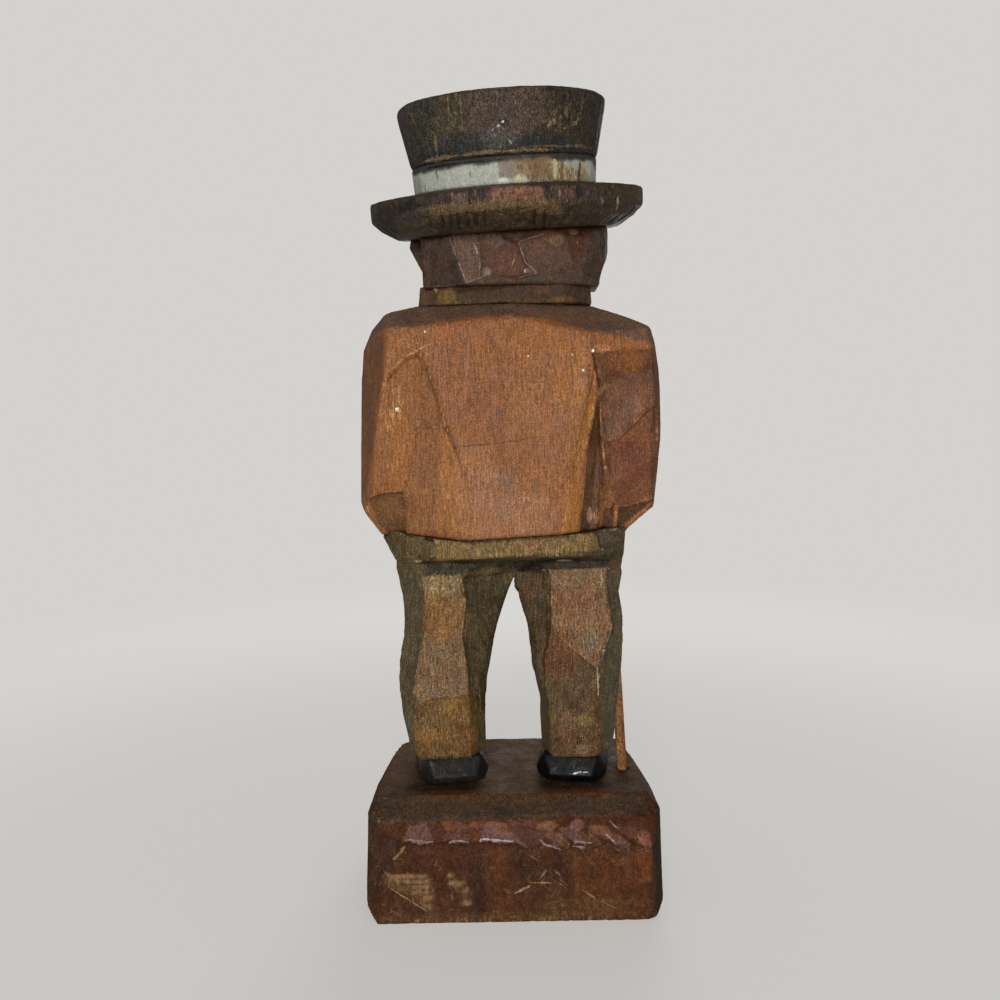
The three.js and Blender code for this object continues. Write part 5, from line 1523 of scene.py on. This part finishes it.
def round_hat(height, half, stops, width, paint, strength):
    """A ragged line round the back of the hat, through stops across it, at a height on it."""
    drawn = ring_on_hat(height, half, stops)
    return [(start, end, width, paint, strength) for start, end in zip(drawn, drawn[1:])]


def chiselled(paint, strokes, depth, inner, outer, facing, seed):
    """Chisel strokes round a piece of the hat: how many, how deep, where and facing which way."""
    return (chisel_ring, {
        "Middle": hat_middle * MM, "Side": hat_side, "Back": hat_back, "Axis": hat_axis,
        "Oval": hat_oval, "Strokes": strokes, "Depth": depth * MM, "Inner": inner * MM,
        "Outer": outer * MM, "Facing from": facing[0], "Facing to": facing[1], "Seed": seed,
        "Paint": paint})


# The brim of the hat

tooth_stops = (9.6, 8.3, 7.1, 5.7, 4.4, 3.0, -4.6, -6.2)
tick_pale = tone(140, 116, 96)
tick_dark = tone(30, 27, 28)
brim_paint = painted_wood(
    "painted_brim", bare=tone(118, 96, 68), dark=tone(12, 11, 11), streak=(0.5, 3.0),
    streaks=0.6, pores=0.3, patches=0.15, flake=(0.26, 1.2), dirt=0.5, grit=0.6, mottle=0.35,
    fibres=0.3, highlight_flecks=0.14, drift=0.5, bump=0.9, seed=14.0,
    lines=[
        # The chisel's teeth on the underside
        *teeth(tooth_stops, 113.2, 111.8, -0.1, 0.8, tone(32, 27, 22), 0.8),
        # Pale and dark ticks across the edge
        ((-18.1, 116.5), (-18.1, 115), 0.45, tone(156, 134, 98), 0.8),
        ((7.9, 116.5), (7.8, 114.6), 0.4, tick_pale, 0.5),
        ((5.1, 116.1), (5.2, 114.4), 0.8, tick_dark, 0.7),
        ((3.1, 116.1), (3.3, 114.4), 0.5, tick_dark, 0.6),
        ((-6.5, 116.5), (-6.5, 114.7), 0.8, tick_dark, 0.7),
        ((-8.5, 116.5), (-8.5, 115.2), 0.4, tick_pale, 0.5),
        ((-11.4, 117), (-11.5, 115.3), 0.9, tick_dark, 0.7),
        ((-15.2, 115.9), (-15.5, 114.7), 0.4, tick_pale, 0.5),
    ])
carve_piece(
    "hat_brim_painted", ["hat_brim"], brim_paint, 0.28,
    (tone(60, 49, 38), tone(66, 53, 38)),
    touches=[
        # The two ends, and where it meets the hair
        ((-20.5, 6, 118), (2.5, 5, 2), tone(80, 62, 46), 0.5),
        ((20.4, 7, 114.4), (4, 9, 2.2), tone(34, 32, 31), 0.8),
        ((0, 12, 111.6), (10, 3, 1.0), tone(60, 38, 26), 0.5),
        # Worn and black patches along the edge
        ((6.4, 17.7, 115.2), (1.2, 2, 0.7), tone(112, 92, 88), 0.6),
        ((4.2, 18.2, 115.4), (0.8, 2, 0.8), tone(34, 30, 30), 0.7),
        ((8.5, 17.1, 115.1), (0.9, 2, 0.7), tone(36, 30, 32), 0.7),
        ((-6.7, 17.9, 115.6), (0.8, 2, 0.8), tone(40, 34, 38), 0.7),
        ((-9.8, 17.1, 115.9), (1.0, 2, 0.9), tone(104, 72, 66), 0.6),
        ((-11.7, 16.5, 116.3), (0.7, 2, 1.0), tone(34, 32, 34), 0.7),
    ],
    panels=[
        # The bare patch in the middle of the edge
        ([(2.1, 117), (-5.6, 116.4), (-5.6, 114.6), (2.1, 114.4)], tone(134, 94, 76), 0.85),
        # The worn edge on its left
        ([(10.3, 115.9), (2.1, 116.3), (2.1, 114.4), (11.4, 114.7)], tone(76, 60, 56), 0.8),
        # The worn edge on its right
        ([(-5.6, 116.4), (-13.3, 117.2), (-13.3, 114.8), (-5.6, 114.6)], tone(76, 58, 54), 0.8),
        # The edge at the right end
        ([(-13.3, 117.1), (-20.9, 116.1), (-20.6, 114.1), (-13.3, 114.8)], tone(62, 50, 42), 0.8),
        # The black left end
        ([(20, 114.8), (13.9, 116.3), (12.7, 114.9), (17.3, 113.7)], tone(28, 27, 28), 0.9),
        # The rubbed underside
        ([(11.7, 114.6), (-8.6, 114.5), (-9, 113.3), (11.5, 113.3)], tone(108, 86, 58), 0.8),
        # The underside's grey left end
        ([(20.5, 114.2), (11.7, 114.6), (11.3, 111), (16.3, 110.1)], tone(66, 62, 52), 0.7),
    ],
    worn=[
        ((0, 18, 115), (12, 4, 1.4), 0.5),
        ((0, 16, 113), (18, 5, 1.4), 0.42),
    ],
    wear=0.28, soften=1,
    marks=[
        # Strokes on its underside, and shallower ones round its edge
        chiselled(brim_paint, 70, 0.42, 18.6, 23.0, (-1.0, -0.25), 5.0),
        chiselled(brim_paint, 46, 0.2, 22.6, 30.0, (-0.3, 0.4), 9.0),
    ],
    seed=71)

# The band of the hat

band_paint = painted_wood(
    "painted_band", bare=tone(118, 88, 58), dark=tone(36, 30, 22), streaks=0.12, pores=0.1,
    patches=0.12, mottle=0.1, grit=0.25, highlight_flecks=0.0, drift=0.15, rubbing=0.5, flake=(0.28, 1.8),
    dirt=0.5, bump=0.35, seed=7.0,
    lines=[
        # The dark line between the band and the crown
        *round_hat(10.3, 15.6, (12.5, 7, 1), 0.5, tone(20, 17, 15), 0.9),
        # Scratches in the white
        ((12.8, 120.7), (12.7, 118.8), 0.3, tone(92, 90, 82), 0.6),
        ((10.8, 121.8), (10.5, 120.3), 0.34, tone(84, 76, 62), 0.7),
        ((5.2, 120.8), (5.1, 119.8), 0.3, tone(104, 100, 90), 0.6),
        # Strokes across the bare patches
        ((-9.4, 122.7), (-9.4, 120), 0.8, tone(106, 86, 52), 0.75),
        ((-8.2, 122.5), (-8.3, 119.9), 0.9, tone(194, 184, 142), 0.8),
        ((-12.5, 122.9), (-12.2, 119.3), 0.6, tone(80, 56, 34), 0.85),
        ((-4.7, 119.9), (-4.9, 119.3), 0.4, tone(86, 66, 42), 0.7),
    ])
band_white = (tone(182, 184, 172), tone(174, 176, 166))
band_black = tone(38, 34, 30)
black_edge_stops = (15.4, 14.6, 12.6, 8, 3, -3, -8, -12.6, -14.6)
above_band = [(-17, 120), (-17, 127), (17, 127)]
carve_piece(
    "hat_band_painted", ["hat_band"], band_paint, 0.22, band_white,
    touches=[
        # The whitest spot, cream below it, brown wood and the grey left end
        ((-0.1, 13.2, 119), (0.9, 2, 0.6), tone(222, 222, 212), 0.8),
        ((-2.6, 13.1, 119.2), (1.0, 2, 0.8), tone(206, 196, 156), 0.85),
        ((-5.5, 13, 121.1), (1.6, 2, 1.2), tone(124, 98, 62), 0.6),
        ((14.2, 5, 120.6), (1.6, 5, 2), tone(150, 146, 130), 0.6),
    ],
    panels=[
        # The black that comes down from the crown over the top of the band
        (ring_on_hat(9.75, 15.5, black_edge_stops) + above_band, band_black, 0.95),
        # The first bare spot in the white
        ([(1, 121.5), (-1.4, 121.9), (-1.7, 120.4), (-0.9, 119.2), (0.5, 119.5)],
         tone(130, 108, 94), 0.8),
        # The tan patch beside it
        ([(-1.4, 122), (-7.4, 122.7), (-7.6, 119.8), (-5.8, 119.4), (-3.9, 119.7), (-2.6, 120),
          (-1.1, 119.4), (-1.7, 120.4)], tone(142, 114, 78), 0.8),
        # The cream patch
        ([(-7.4, 122.5), (-11.6, 122), (-11.6, 119), (-7.4, 119.5)], tone(176, 160, 114), 0.8),
        # The golden patch at the right end
        ([(-12, 123.1), (-14.2, 121.6), (-13.9, 119.3), (-11.7, 119.2)], tone(164, 142, 94), 0.8),
    ],
    worn=[
        ((-8, 12, 120.5), (7, 6, 2), 0.68),
        ((0, 10, 122.6), (16, 6, 0.5), 0.4),
    ],
    wear=0.12, knife=0.04, chips=0.1, seed=72)

# The crown of the hat

fleck = tone(128, 112, 82)
# The tone of a painted highlight
glint_highlight = tone(226, 226, 224)
hat_paint = painted_wood(
    "painted_hat", bare=tone(118, 98, 70), dark=tone(12, 11, 11), streak=(0.42, 5.0),
    streaks=0.85, pores=0.45, patches=0.15, flake=(0.26, 2.4), dirt=0.5, grit=0.62, mottle=0.35,
    fibres=0.5, highlight_flecks=0.12, drift=0.5, bump=0.9, seed=6.0,
    lines=[
        # The rubbed ring at the foot of the crown
        *round_hat(11.5, 15.9, (13.2, 7.5, 0, -7.5), 0.55, tone(124, 102, 72), 0.75),
        *round_hat(11.9, 15.9, (-2, -9, -14.2), 0.45, tone(110, 92, 66), 0.65),
        # Flaked strokes on the left
        ((10.8, 127.1), (10.3, 123.5), 0.6, fleck, 0.65),
        ((8.3, 131.8), (8.2, 127), 0.34, fleck, 0.4),
        ((6.4, 131.1), (6.2, 126.2), 0.3, fleck, 0.45),
        # A grey nick
        ((-0.8, 124.8), (-1.4, 124.2), 0.34, tone(178, 178, 172), 0.7),
        # Flaked spots on the right
        ((-8.3, 128), (-6.9, 126.7), 0.7, fleck, 0.6),
        ((-11.8, 128.4), (-11, 127.6), 0.6, tone(158, 120, 84), 0.55),
        ((-9.9, 129.5), (-10.1, 128.5), 0.6, fleck, 0.5),
        ((-12.7, 131.5), (-12.4, 129.8), 0.34, fleck, 0.45),
        # A painted highlight: a glint, broken in three
        ((-0.2, 127.1), (0.1, 126.9), 0.34, glint_highlight, 0.9),
        ((0.5, 126.7), (0.8, 126.4), 0.34, glint_highlight, 0.9),
        ((1.3, 126.3), (1.7, 125.9), 0.3, glint_highlight, 0.8),
    ])
hat_black = (tone(54, 50, 45), tone(47, 45, 42))
carve_piece(
    "hat_crown_painted", ["hat_crown"], hat_paint, 0.25, hat_black,
    touches=[
        # Black above the band, with one paler grey spot
        ((0, 14, 124.2), (17, 8, 0.8), tone(38, 38, 40), 0.6),
        ((0.4, 15.1, 125), (3.2, 4, 1.5), tone(104, 100, 90), 0.45),
        ((-9, 12.6, 124.5), (2.4, 4, 1.2), tone(40, 40, 44), 0.6),
        ((8.3, 13.1, 124.7), (2.0, 4, 1.2), tone(42, 42, 44), 0.5),
    ],
    panels=[
        # The left end
        ([(17.2, 131.8), (10.6, 132.6), (10.5, 123.6), (15, 121.4)], tone(60, 58, 50), 0.8),
        # The rubbed brown on the left
        ([(10.5, 132.2), (5.6, 132.7), (5, 125.9), (10.5, 126.4)], tone(74, 66, 52), 0.8),
        # The rubbed brown in the middle
        ([(5.6, 132.7), (-6.7, 133.4), (-6.6, 127.6), (-4.5, 125.9), (0.4, 125.2), (5, 125.9)],
         tone(88, 72, 63), 0.85),
        # The darker brown on the right
        ([(-6.7, 133.4), (-16.5, 132), (-15.2, 125.4), (-4.5, 125.6), (-6.6, 127.6)],
         tone(60, 52, 42), 0.8),
        # The blue-black above the band
        ([(10.3, 126.3), (5.1, 125.8), (0.4, 125.1), (-4.5, 125.6), (-15.5, 125.4), (-14.8, 122.7),
          (-9, 124), (0.5, 123), (10.1, 122.5)], tone(55, 59, 62), 0.8),
    ],
    worn=[
        ((0, 14, 130), (20, 9, 5.0), 0.4),
        ((0, 14, 124.8), (20, 9, 1.8), 0.2),
        ((-8, 12, 128), (5, 6, 2.6), 0.5),
        ((9, 12, 127.5), (3, 6, 4), 0.48),
        ((0, 6, 135), (20, 14, 2.4), 0.5),
    ],
    marks=[chiselled(hat_paint, 36, 0.16, 12.0, 30.0, (-0.5, 0.5), 3.0)],
    chips=0.35, seed=73)

# The hair

pale_ridge = tone(150, 128, 112)
hair_paint = painted_wood(
    "painted_hair", bare=tone(150, 126, 106), dark=tone(20, 14, 11), rubbing=0.3, dirt=0.4,
    streaks=0.4, pores=0.2, mottle=0.2, grit=0.55, highlight_flecks=0.14, drift=0.5, seed=8.0,
    lines=[
        # The ridge round the pale facet on the left
        ((9, 111.6), (7.8, 108.4), 0.25, pale_ridge, 0.65),
        ((7.8, 108.4), (6.3, 104.4), 0.3, pale_ridge, 0.75),
        ((6.3, 104.4), (3.2, 105.5), 0.25, pale_ridge, 0.6),
        # Two strokes down that facet
        ((4.9, 110.5), (4.3, 108.8), 0.26, tone(186, 164, 146), 0.7),
        ((4, 108.5), (4.1, 105.3), 0.24, pale_ridge, 0.65),
        # The ridge round the middle facet
        ((-2.4, 110.4), (-3.4, 107.5), 0.25, pale_ridge, 0.65),
        ((-3.4, 107.5), (-5.2, 105.8), 0.28, pale_ridge, 0.65),
        ((-5.2, 105.8), (-2.2, 105.1), 0.22, pale_ridge, 0.45),
        # The ridge under the brim
        ((-2.6, 110.7), (-7.2, 112), 0.24, pale_ridge, 0.5),
        # Two bright spots
        ((-1.7, 108.3), (-1.2, 106.9), 0.26, tone(176, 150, 126), 0.6),
        ((-3.4, 106.4), (-3.4, 106), 0.4, tone(214, 196, 180), 0.8),
    ])
carve_piece(
    "hair_carved", ["hair"], hair_paint, 0.24,
    (tone(70, 44, 31), tone(62, 40, 29)),
    touches=[
        # Red-brown under the brim
        ((0, 9, 113.0), (14, 3, 1.2), tone(110, 60, 34), 0.8),
        ((-6.7, 9.7, 112.3), (3.6, 3, 0.9), tone(94, 44, 26), 0.6),
        # Pale nicks and warm spots
        ((-11.4, 8.3, 112.4), (0.8, 2, 0.7), tone(150, 112, 66), 0.6),
        ((-0.6, 9.1, 107.2), (2.2, 3, 2.2), tone(104, 62, 42), 0.5),
        ((1.6, 10, 110.9), (1.8, 3, 1.0), tone(104, 86, 66), 0.6),
        ((-5.5, 9.4, 109), (1.6, 3, 1.8), tone(112, 72, 48), 0.5),
        ((-8.5, 9.2, 110.9), (1.2, 3, 0.8), tone(134, 104, 66), 0.5),
        ((3, 8.8, 106.1), (0.8, 2, 0.7), tone(136, 116, 98), 0.7),
        ((-4.2, 8.8, 106.3), (0.8, 2, 0.6), tone(132, 106, 90), 0.6),
    ],
    cuts=[flat_facet(*cut) for cut in (
        # The left end, turned away
        ([(13.2, 111.8), (9, 111.6), (6.4, 105), (5.8, 103.5), (12.4, 103.6)],
         (0.42, 1, -0.3), tone(54, 38, 31), 0.85),
        # The pale facet on the left
        ([(9, 111.6), (7.8, 112.4), (4.5, 112.1), (3.8, 107.6), (4.1, 105.3), (6.3, 104.4)],
         (0.2, 1, -0.12), tone(98, 74, 63), 0.95, 0.14),
        # The middle, cut deepest
        ([(4.5, 112.1), (1, 112.6), (-0.2, 111.2), (-2.4, 110.4), (-3.4, 107.5), (-5.2, 105.8),
          (-2.5, 105.1), (0.8, 105.3), (3, 106.4), (3.8, 107.6)],
         (-0.06, 1, -0.2), tone(82, 50, 35), 0.95, 0.32),
        # The facet on the right of the middle
        ([(-2.4, 110.7), (-4.2, 111.3), (-7.2, 112), (-8, 110.9), (-10.1, 110), (-10.8, 107.6),
          (-9.1, 106), (-7.1, 105.3), (-5.2, 105.8), (-3.4, 107.5)],
         (-0.14, 1, -0.08), tone(82, 57, 45), 0.95, 0.14),
        # The narrow facet beside it
        ([(-10.1, 110), (-11.1, 111.3), (-14.6, 111.9), (-13.3, 107.6), (-11.2, 106.3),
          (-10.8, 107.6)], (-0.3, 1, -0.1), tone(74, 41, 29), 0.9, 0.1),
        # The right end, turned away
        ([(-15.2, 113.4), (-17.8, 110.6), (-16.1, 106.6), (-15.8, 102.7), (-12.2, 103.1),
          (-13.3, 107.6), (-14.6, 111.9)], (-0.55, 1, -0.15), tone(60, 48, 43), 0.9, 0.14),
    )],
    panels=[
        # The hair's foot, all along the collar
        ([(12.4, 103.2), (12.1, 104.6), (6.5, 105), (4.1, 105.1), (0.8, 105.1), (-2.6, 105),
          (-5.2, 105.5), (-7.2, 105.1), (-9.1, 105.7), (-11.5, 104.3), (-12.3, 102.8)],
         tone(74, 56, 42), 0.85),
    ],
    wear=0.12, knife=0.04, seed=81,
    extend=[
        # The hair's underside runs down to the collar
        ((0, 0, -1), 0.8, lambda place: place.z < 105.4),
    ])

# The collar that stands round the neck

collar_paint = painted_wood(
    "painted_collar", bare=tone(124, 94, 58), dark=tone(26, 18, 13), dirt=0.7, streaks=0.4,
    pores=0.4, seed=3.0)
carve_piece(
    "collar_carved", ["coat_collar"], collar_paint, 0.26,
    (tone(70, 49, 34), tone(66, 46, 33)),
    touches=[
        # Gold and brown spots, then the worn edges
        ((9.8, 7.7, 102.2), (1.9, 3, 1.6), tone(120, 96, 52), 0.85),
        ((-10, 7.8, 101.7), (2.2, 2, 0.7), tone(112, 84, 46), 0.7),
        ((-6.2, 7.6, 103.1), (1.6, 2, 0.7), tone(104, 68, 42), 0.5),
        ((13.5, 7.1, 102.9), (1.0, 5, 2.6), tone(98, 76, 60), 0.7),
        ((0.8, 7.3, 101.3), (11, 2, 0.4), tone(98, 76, 50), 0.6),
    ],
    cuts=[
        # The left end, the right end and the bevel along the top
        planed((8.0, 7.7, 103), (0.5, 0.87, 0.08), paint=tone(84, 64, 48), amount=0.7),
        planed((-9.6, 7.7, 103), (-0.5, 0.87, 0.08), paint=tone(66, 51, 45), amount=0.7),
        planed((0, 7.6, 103.6), (0.04, 0.86, 0.5)),
    ],
    strokes=(6, 5, 3, 0.08), seed=61)

# The head, with cheeks, eyes, brows, lips and the tip of the nose painted on

skin_paint = painted_wood(
    "bare_skin", bare=tone(210, 172, 124), dark=tone(70, 44, 26), rubbing=0.4, dirt=0.7,
    streaks=0.2, pores=0.15, mottle=0.08, bump=0.3, grit=0.12, highlight_flecks=0.1, drift=0.2, seed=9.0)
eye_white = tone(212, 204, 184)
eye_dark = tone(44, 34, 28)
face_touches = [
    touch for mirror in (1, -1) for touch in (
        # A cheek, the white of an eye, its dark middle and a brow
        ((mirror * 7.0, -8.6, 108.2), (3.0, 3, 2.4), tone(190, 112, 80), 0.45),
        ((mirror * 4.5, -9.2, 112.8), (1.5, 1.6, 0.8), eye_white, 1.0),
        ((mirror * 4.3, -9.6, 112.8), (0.55, 1.4, 0.62), eye_dark, 1.0),
        ((mirror * 5.0, -9.8, 114.9), (3.1, 1.6, 0.42), tone(92, 66, 48), 0.9))
] + [
    # The lips, and the tip of the nose
    ((0, -10, 106.0), (3.2, 1.6, 0.9), tone(160, 84, 66), 0.8),
    ((0, -12.6, 110.0), (1.6, 1.6, 1.6), tone(198, 128, 92), 0.4),
]
carve_piece(
    "head_carved", ["head"], skin_paint, 0.23,
    (tone(194, 146, 100), tone(190, 142, 96)), touches=face_touches,
    wear=0.1, knife=0.03, chips=0.1, seed=91)

# The ears, the hands and the lapels: a left one and a right one of each

for side, ear_tone, seed in (("left", tone(48, 40, 34), 92), ("right", tone(178, 132, 90), 93)):
    carve_piece(
        f"{side}_ear_carved", [f"{side}_ear"], skin_paint, 0.2,
        (ear_tone, ear_tone), wear=0.1, soften=2, knife=0.02, chips=0.08, seed=seed)
    carve_piece(
        f"{side}_hand_carved", [f"{side}_hand"], skin_paint, 0.2,
        (tone(188, 140, 95), tone(182, 134, 90)), wear=0.1, soften=3, knife=0.03, chips=0.1,
        seed=seed + 4)
    carve_piece(
        f"{side}_lapel_carved", [f"{side}_lapel"], coat_paint, 0.22,
        (tone(142, 92, 58), tone(136, 88, 56)), wear=0.1, knife=0.03, chips=0.12, seed=seed + 8)

# The waistcoat, the shirt and the tie

waistcoat_paint = painted_wood(
    "painted_waistcoat", bare=tone(170, 140, 84), dark=tone(30, 28, 16), rubbing=0.5, dirt=0.9,
    streaks=0.35, pores=0.4, seed=11.0)
linen_paint = painted_wood(
    "painted_linen", bare=tone(178, 150, 108), dark=tone(70, 58, 40), rubbing=0.4,
    streaks=0.15, pores=0.2, mottle=0.08, bump=0.3, grit=0.12, highlight_flecks=0.1, drift=0.2, seed=10.0)
carve_piece(
    "waistcoat_carved", ["waistcoat"], waistcoat_paint, 0.26,
    (tone(112, 106, 56), tone(104, 98, 54)), wear=0.2, strokes=(10, 10, 5, 0.12), seed=101)
carve_piece(
    "shirt_front_carved", ["shirt_front"], linen_paint, 0.2,
    (tone(200, 194, 170), tone(196, 190, 166)), wear=0.1, knife=0.03, chips=0.1, seed=102)
carve_piece(
    "bow_tie_carved", ["bow_tie"], hat_paint, 0.18,
    (tone(44, 40, 40), tone(40, 38, 40)), wear=0.2, soften=2, knife=0.02, chips=0.08, seed=103)

# The waistcoat's buttons

button_names = [f"waistcoat_button_{index}" for index in (1, 2, 3)]
spots = [(Vector(low) + Vector(high)) / 2 for low, high in map(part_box, button_names)]
button_blank = bpy.data.objects.new("button_blank", bpy.data.meshes.new("button_blank"))
bpy.context.scene.collection.objects.link(button_blank)
add_nodes(button_blank, button_row_tree(), {
    "Count": len(button_names), "Lowest": spots[0], "Highest": spots[-1], "Bulge": 0.12 * MM,
    "Radius": 1.15 * MM, "Thickness": 1.1 * MM, "Paint": linen_paint})
buttons = plain_mesh(button_blank, "waistcoat_buttons")
count = len(buttons.vertices)
bone = np.tile(np.array(tone(200, 190, 160)[:3]), (count, 1))
write_stain(buttons, bone)
for laid, value in (("worn", 0.15), ("ridge", 0.0), ("hollow", 0.0)):
    write_values(buttons, laid, np.full(count, value))
hand_over(buttons, "waistcoat_buttons", button_names)

# The cane

cane_wood = painted_wood(
    "cane_wood", bare=tone(200, 166, 104), dark=tone(60, 36, 22), streak=(0.35, 8.0), streaks=0.4,
    pores=0.3, rubbing=0.4, dirt=0.4, flake=(0.25, 1.2), mottle=0.3, grit=0.7, highlight_flecks=0.5,
    seed=13.0)
carve_piece(
    "cane_whittled", ["cane"], cane_wood, 0.18,
    (tone(160, 118, 66), tone(150, 108, 60)),
    touches=[((-20.4, -0.2, 30), (0.7, 3, 24), tone(124, 66, 40), 0.8)],
    wear=0.2, knife=0.05, chips=0.1, seed=111)

# Camera at the photograph's viewing angle

LENS_PIXELS = 770
PHOTO_PIXELS = 1000
SENSOR_WIDTH = 36
PITCH = math.radians(4)
ROLL = math.radians(1)
CAMERA_PLACE = (0.0014, 0.1376, 0.0775)
camera = bpy.data.objects.new("camera", bpy.data.cameras.new("camera"))
bpy.context.scene.collection.objects.link(camera)
bpy.context.scene.camera = camera
camera.data.sensor_width = SENSOR_WIDTH
camera.data.lens = SENSOR_WIDTH * LENS_PIXELS / PHOTO_PIXELS
camera.data.clip_start = 0.01
camera.data.clip_end = 20
forward = Vector((0, -math.cos(PITCH), -math.sin(PITCH)))
level = Vector((-1, 0, 0))
upward = level.cross(forward)
right = level * math.cos(ROLL) - upward * math.sin(ROLL)
up = level * math.sin(ROLL) + upward * math.cos(ROLL)
turn = Matrix((right, up, -forward)).transposed().to_4x4()
camera.matrix_world = Matrix.Translation(CAMERA_PLACE) @ turn

# The floor, with a pool of light under the figure

FLOOR_RADIUS = 6
FLOOR_SIDES = 96
GLOW_OUTER = 0.32
GLOW_INNER = 0.07
GLOW_FADE = 0.6
floor_mesh = bpy.data.meshes.new("floor")
plan = bmesh.new()
bmesh.ops.create_circle(plan, cap_ends=True, segments=FLOOR_SIDES, radius=FLOOR_RADIUS)
plan.to_mesh(floor_mesh)
plan.free()
floor = bpy.data.objects.new("floor", floor_mesh)
bpy.context.scene.collection.objects.link(floor)

pale = tone(212, 210, 206)
floor_material = bpy.data.materials.new("pale_floor")
floor_material.use_nodes = True
tree = floor_material.node_tree
tree.nodes.clear()
path = tree.nodes.new("ShaderNodeLightPath")
place = tree.nodes.new("ShaderNodeTexCoord").outputs["Object"]
distance = vector_maths(tree, "LENGTH", place, out="Value")
matt = put(tree, "ShaderNodeBsdfDiffuse", Color=tone(226, 224, 220))
near = between(tree, distance, GLOW_OUTER, GLOW_INNER)
glow = put(tree, "ShaderNodeEmission", Color=mixed(tree, near, pale, tone(246, 244, 240)),
           Strength=1.0)
far = minus(tree, 1.0, times(tree, near, GLOW_FADE))
seen = times(tree, path.outputs["Is Camera Ray"], far)
blend = put(tree, "ShaderNodeMixShader", i0=seen, i1=matt.outputs[0], i2=glow.outputs[0])
end = tree.nodes.new("ShaderNodeOutputMaterial")
tree.links.new(blend.outputs[0], end.inputs["Surface"])
floor_mesh.materials.append(floor_material)

# The world: pale where it is seen, and a dim light all round

AMBIENT_STRENGTH = 0.24
world = bpy.data.worlds.new("studio")
bpy.context.scene.world = world
world.use_nodes = True
tree = world.node_tree
tree.nodes.clear()
path = tree.nodes.new("ShaderNodeLightPath")
seen = maths(tree, "MAXIMUM", path.outputs["Is Camera Ray"], path.outputs["Is Transmission Ray"])
ambient = put(tree, "ShaderNodeBackground", Color=(1, 1, 1, 1), Strength=AMBIENT_STRENGTH)
shown = put(tree, "ShaderNodeBackground", Color=pale, Strength=1.0)
blend = put(tree, "ShaderNodeMixShader", i0=seen, i1=ambient.outputs[0],
            i2=shown.outputs[0])
end = tree.nodes.new("ShaderNodeOutputWorld")
tree.links.new(blend.outputs[0], end.inputs["Surface"])

# The lamps

FIGURE_MIDDLE = Vector((0, 0, 0.068))


def softbox(name, place, width, height, power):
    """A soft rectangular lamp that faces the middle of the figure."""
    lamp = bpy.data.lights.new(name, "AREA")
    lamp.shape = "RECTANGLE"
    lamp.size, lamp.size_y = width, height
    lamp.energy = power
    lamp_object = bpy.data.objects.new(name, lamp)
    bpy.context.scene.collection.objects.link(lamp_object)
    lamp_object.location = place
    away = Vector(place) - FIGURE_MIDDLE
    lamp_object.rotation_euler = away.to_track_quat("Z", "Y").to_euler()
    lamp_object.visible_camera = False


softbox("key_softbox", (0.05, 0.55, 0.11), 0.2, 0.2, 1.9)
softbox("front_softbox", (-0.12, -0.6, 0.22), 0.4, 0.4, 1.9)

bpy.context.scene.view_settings.view_transform = "Standard"
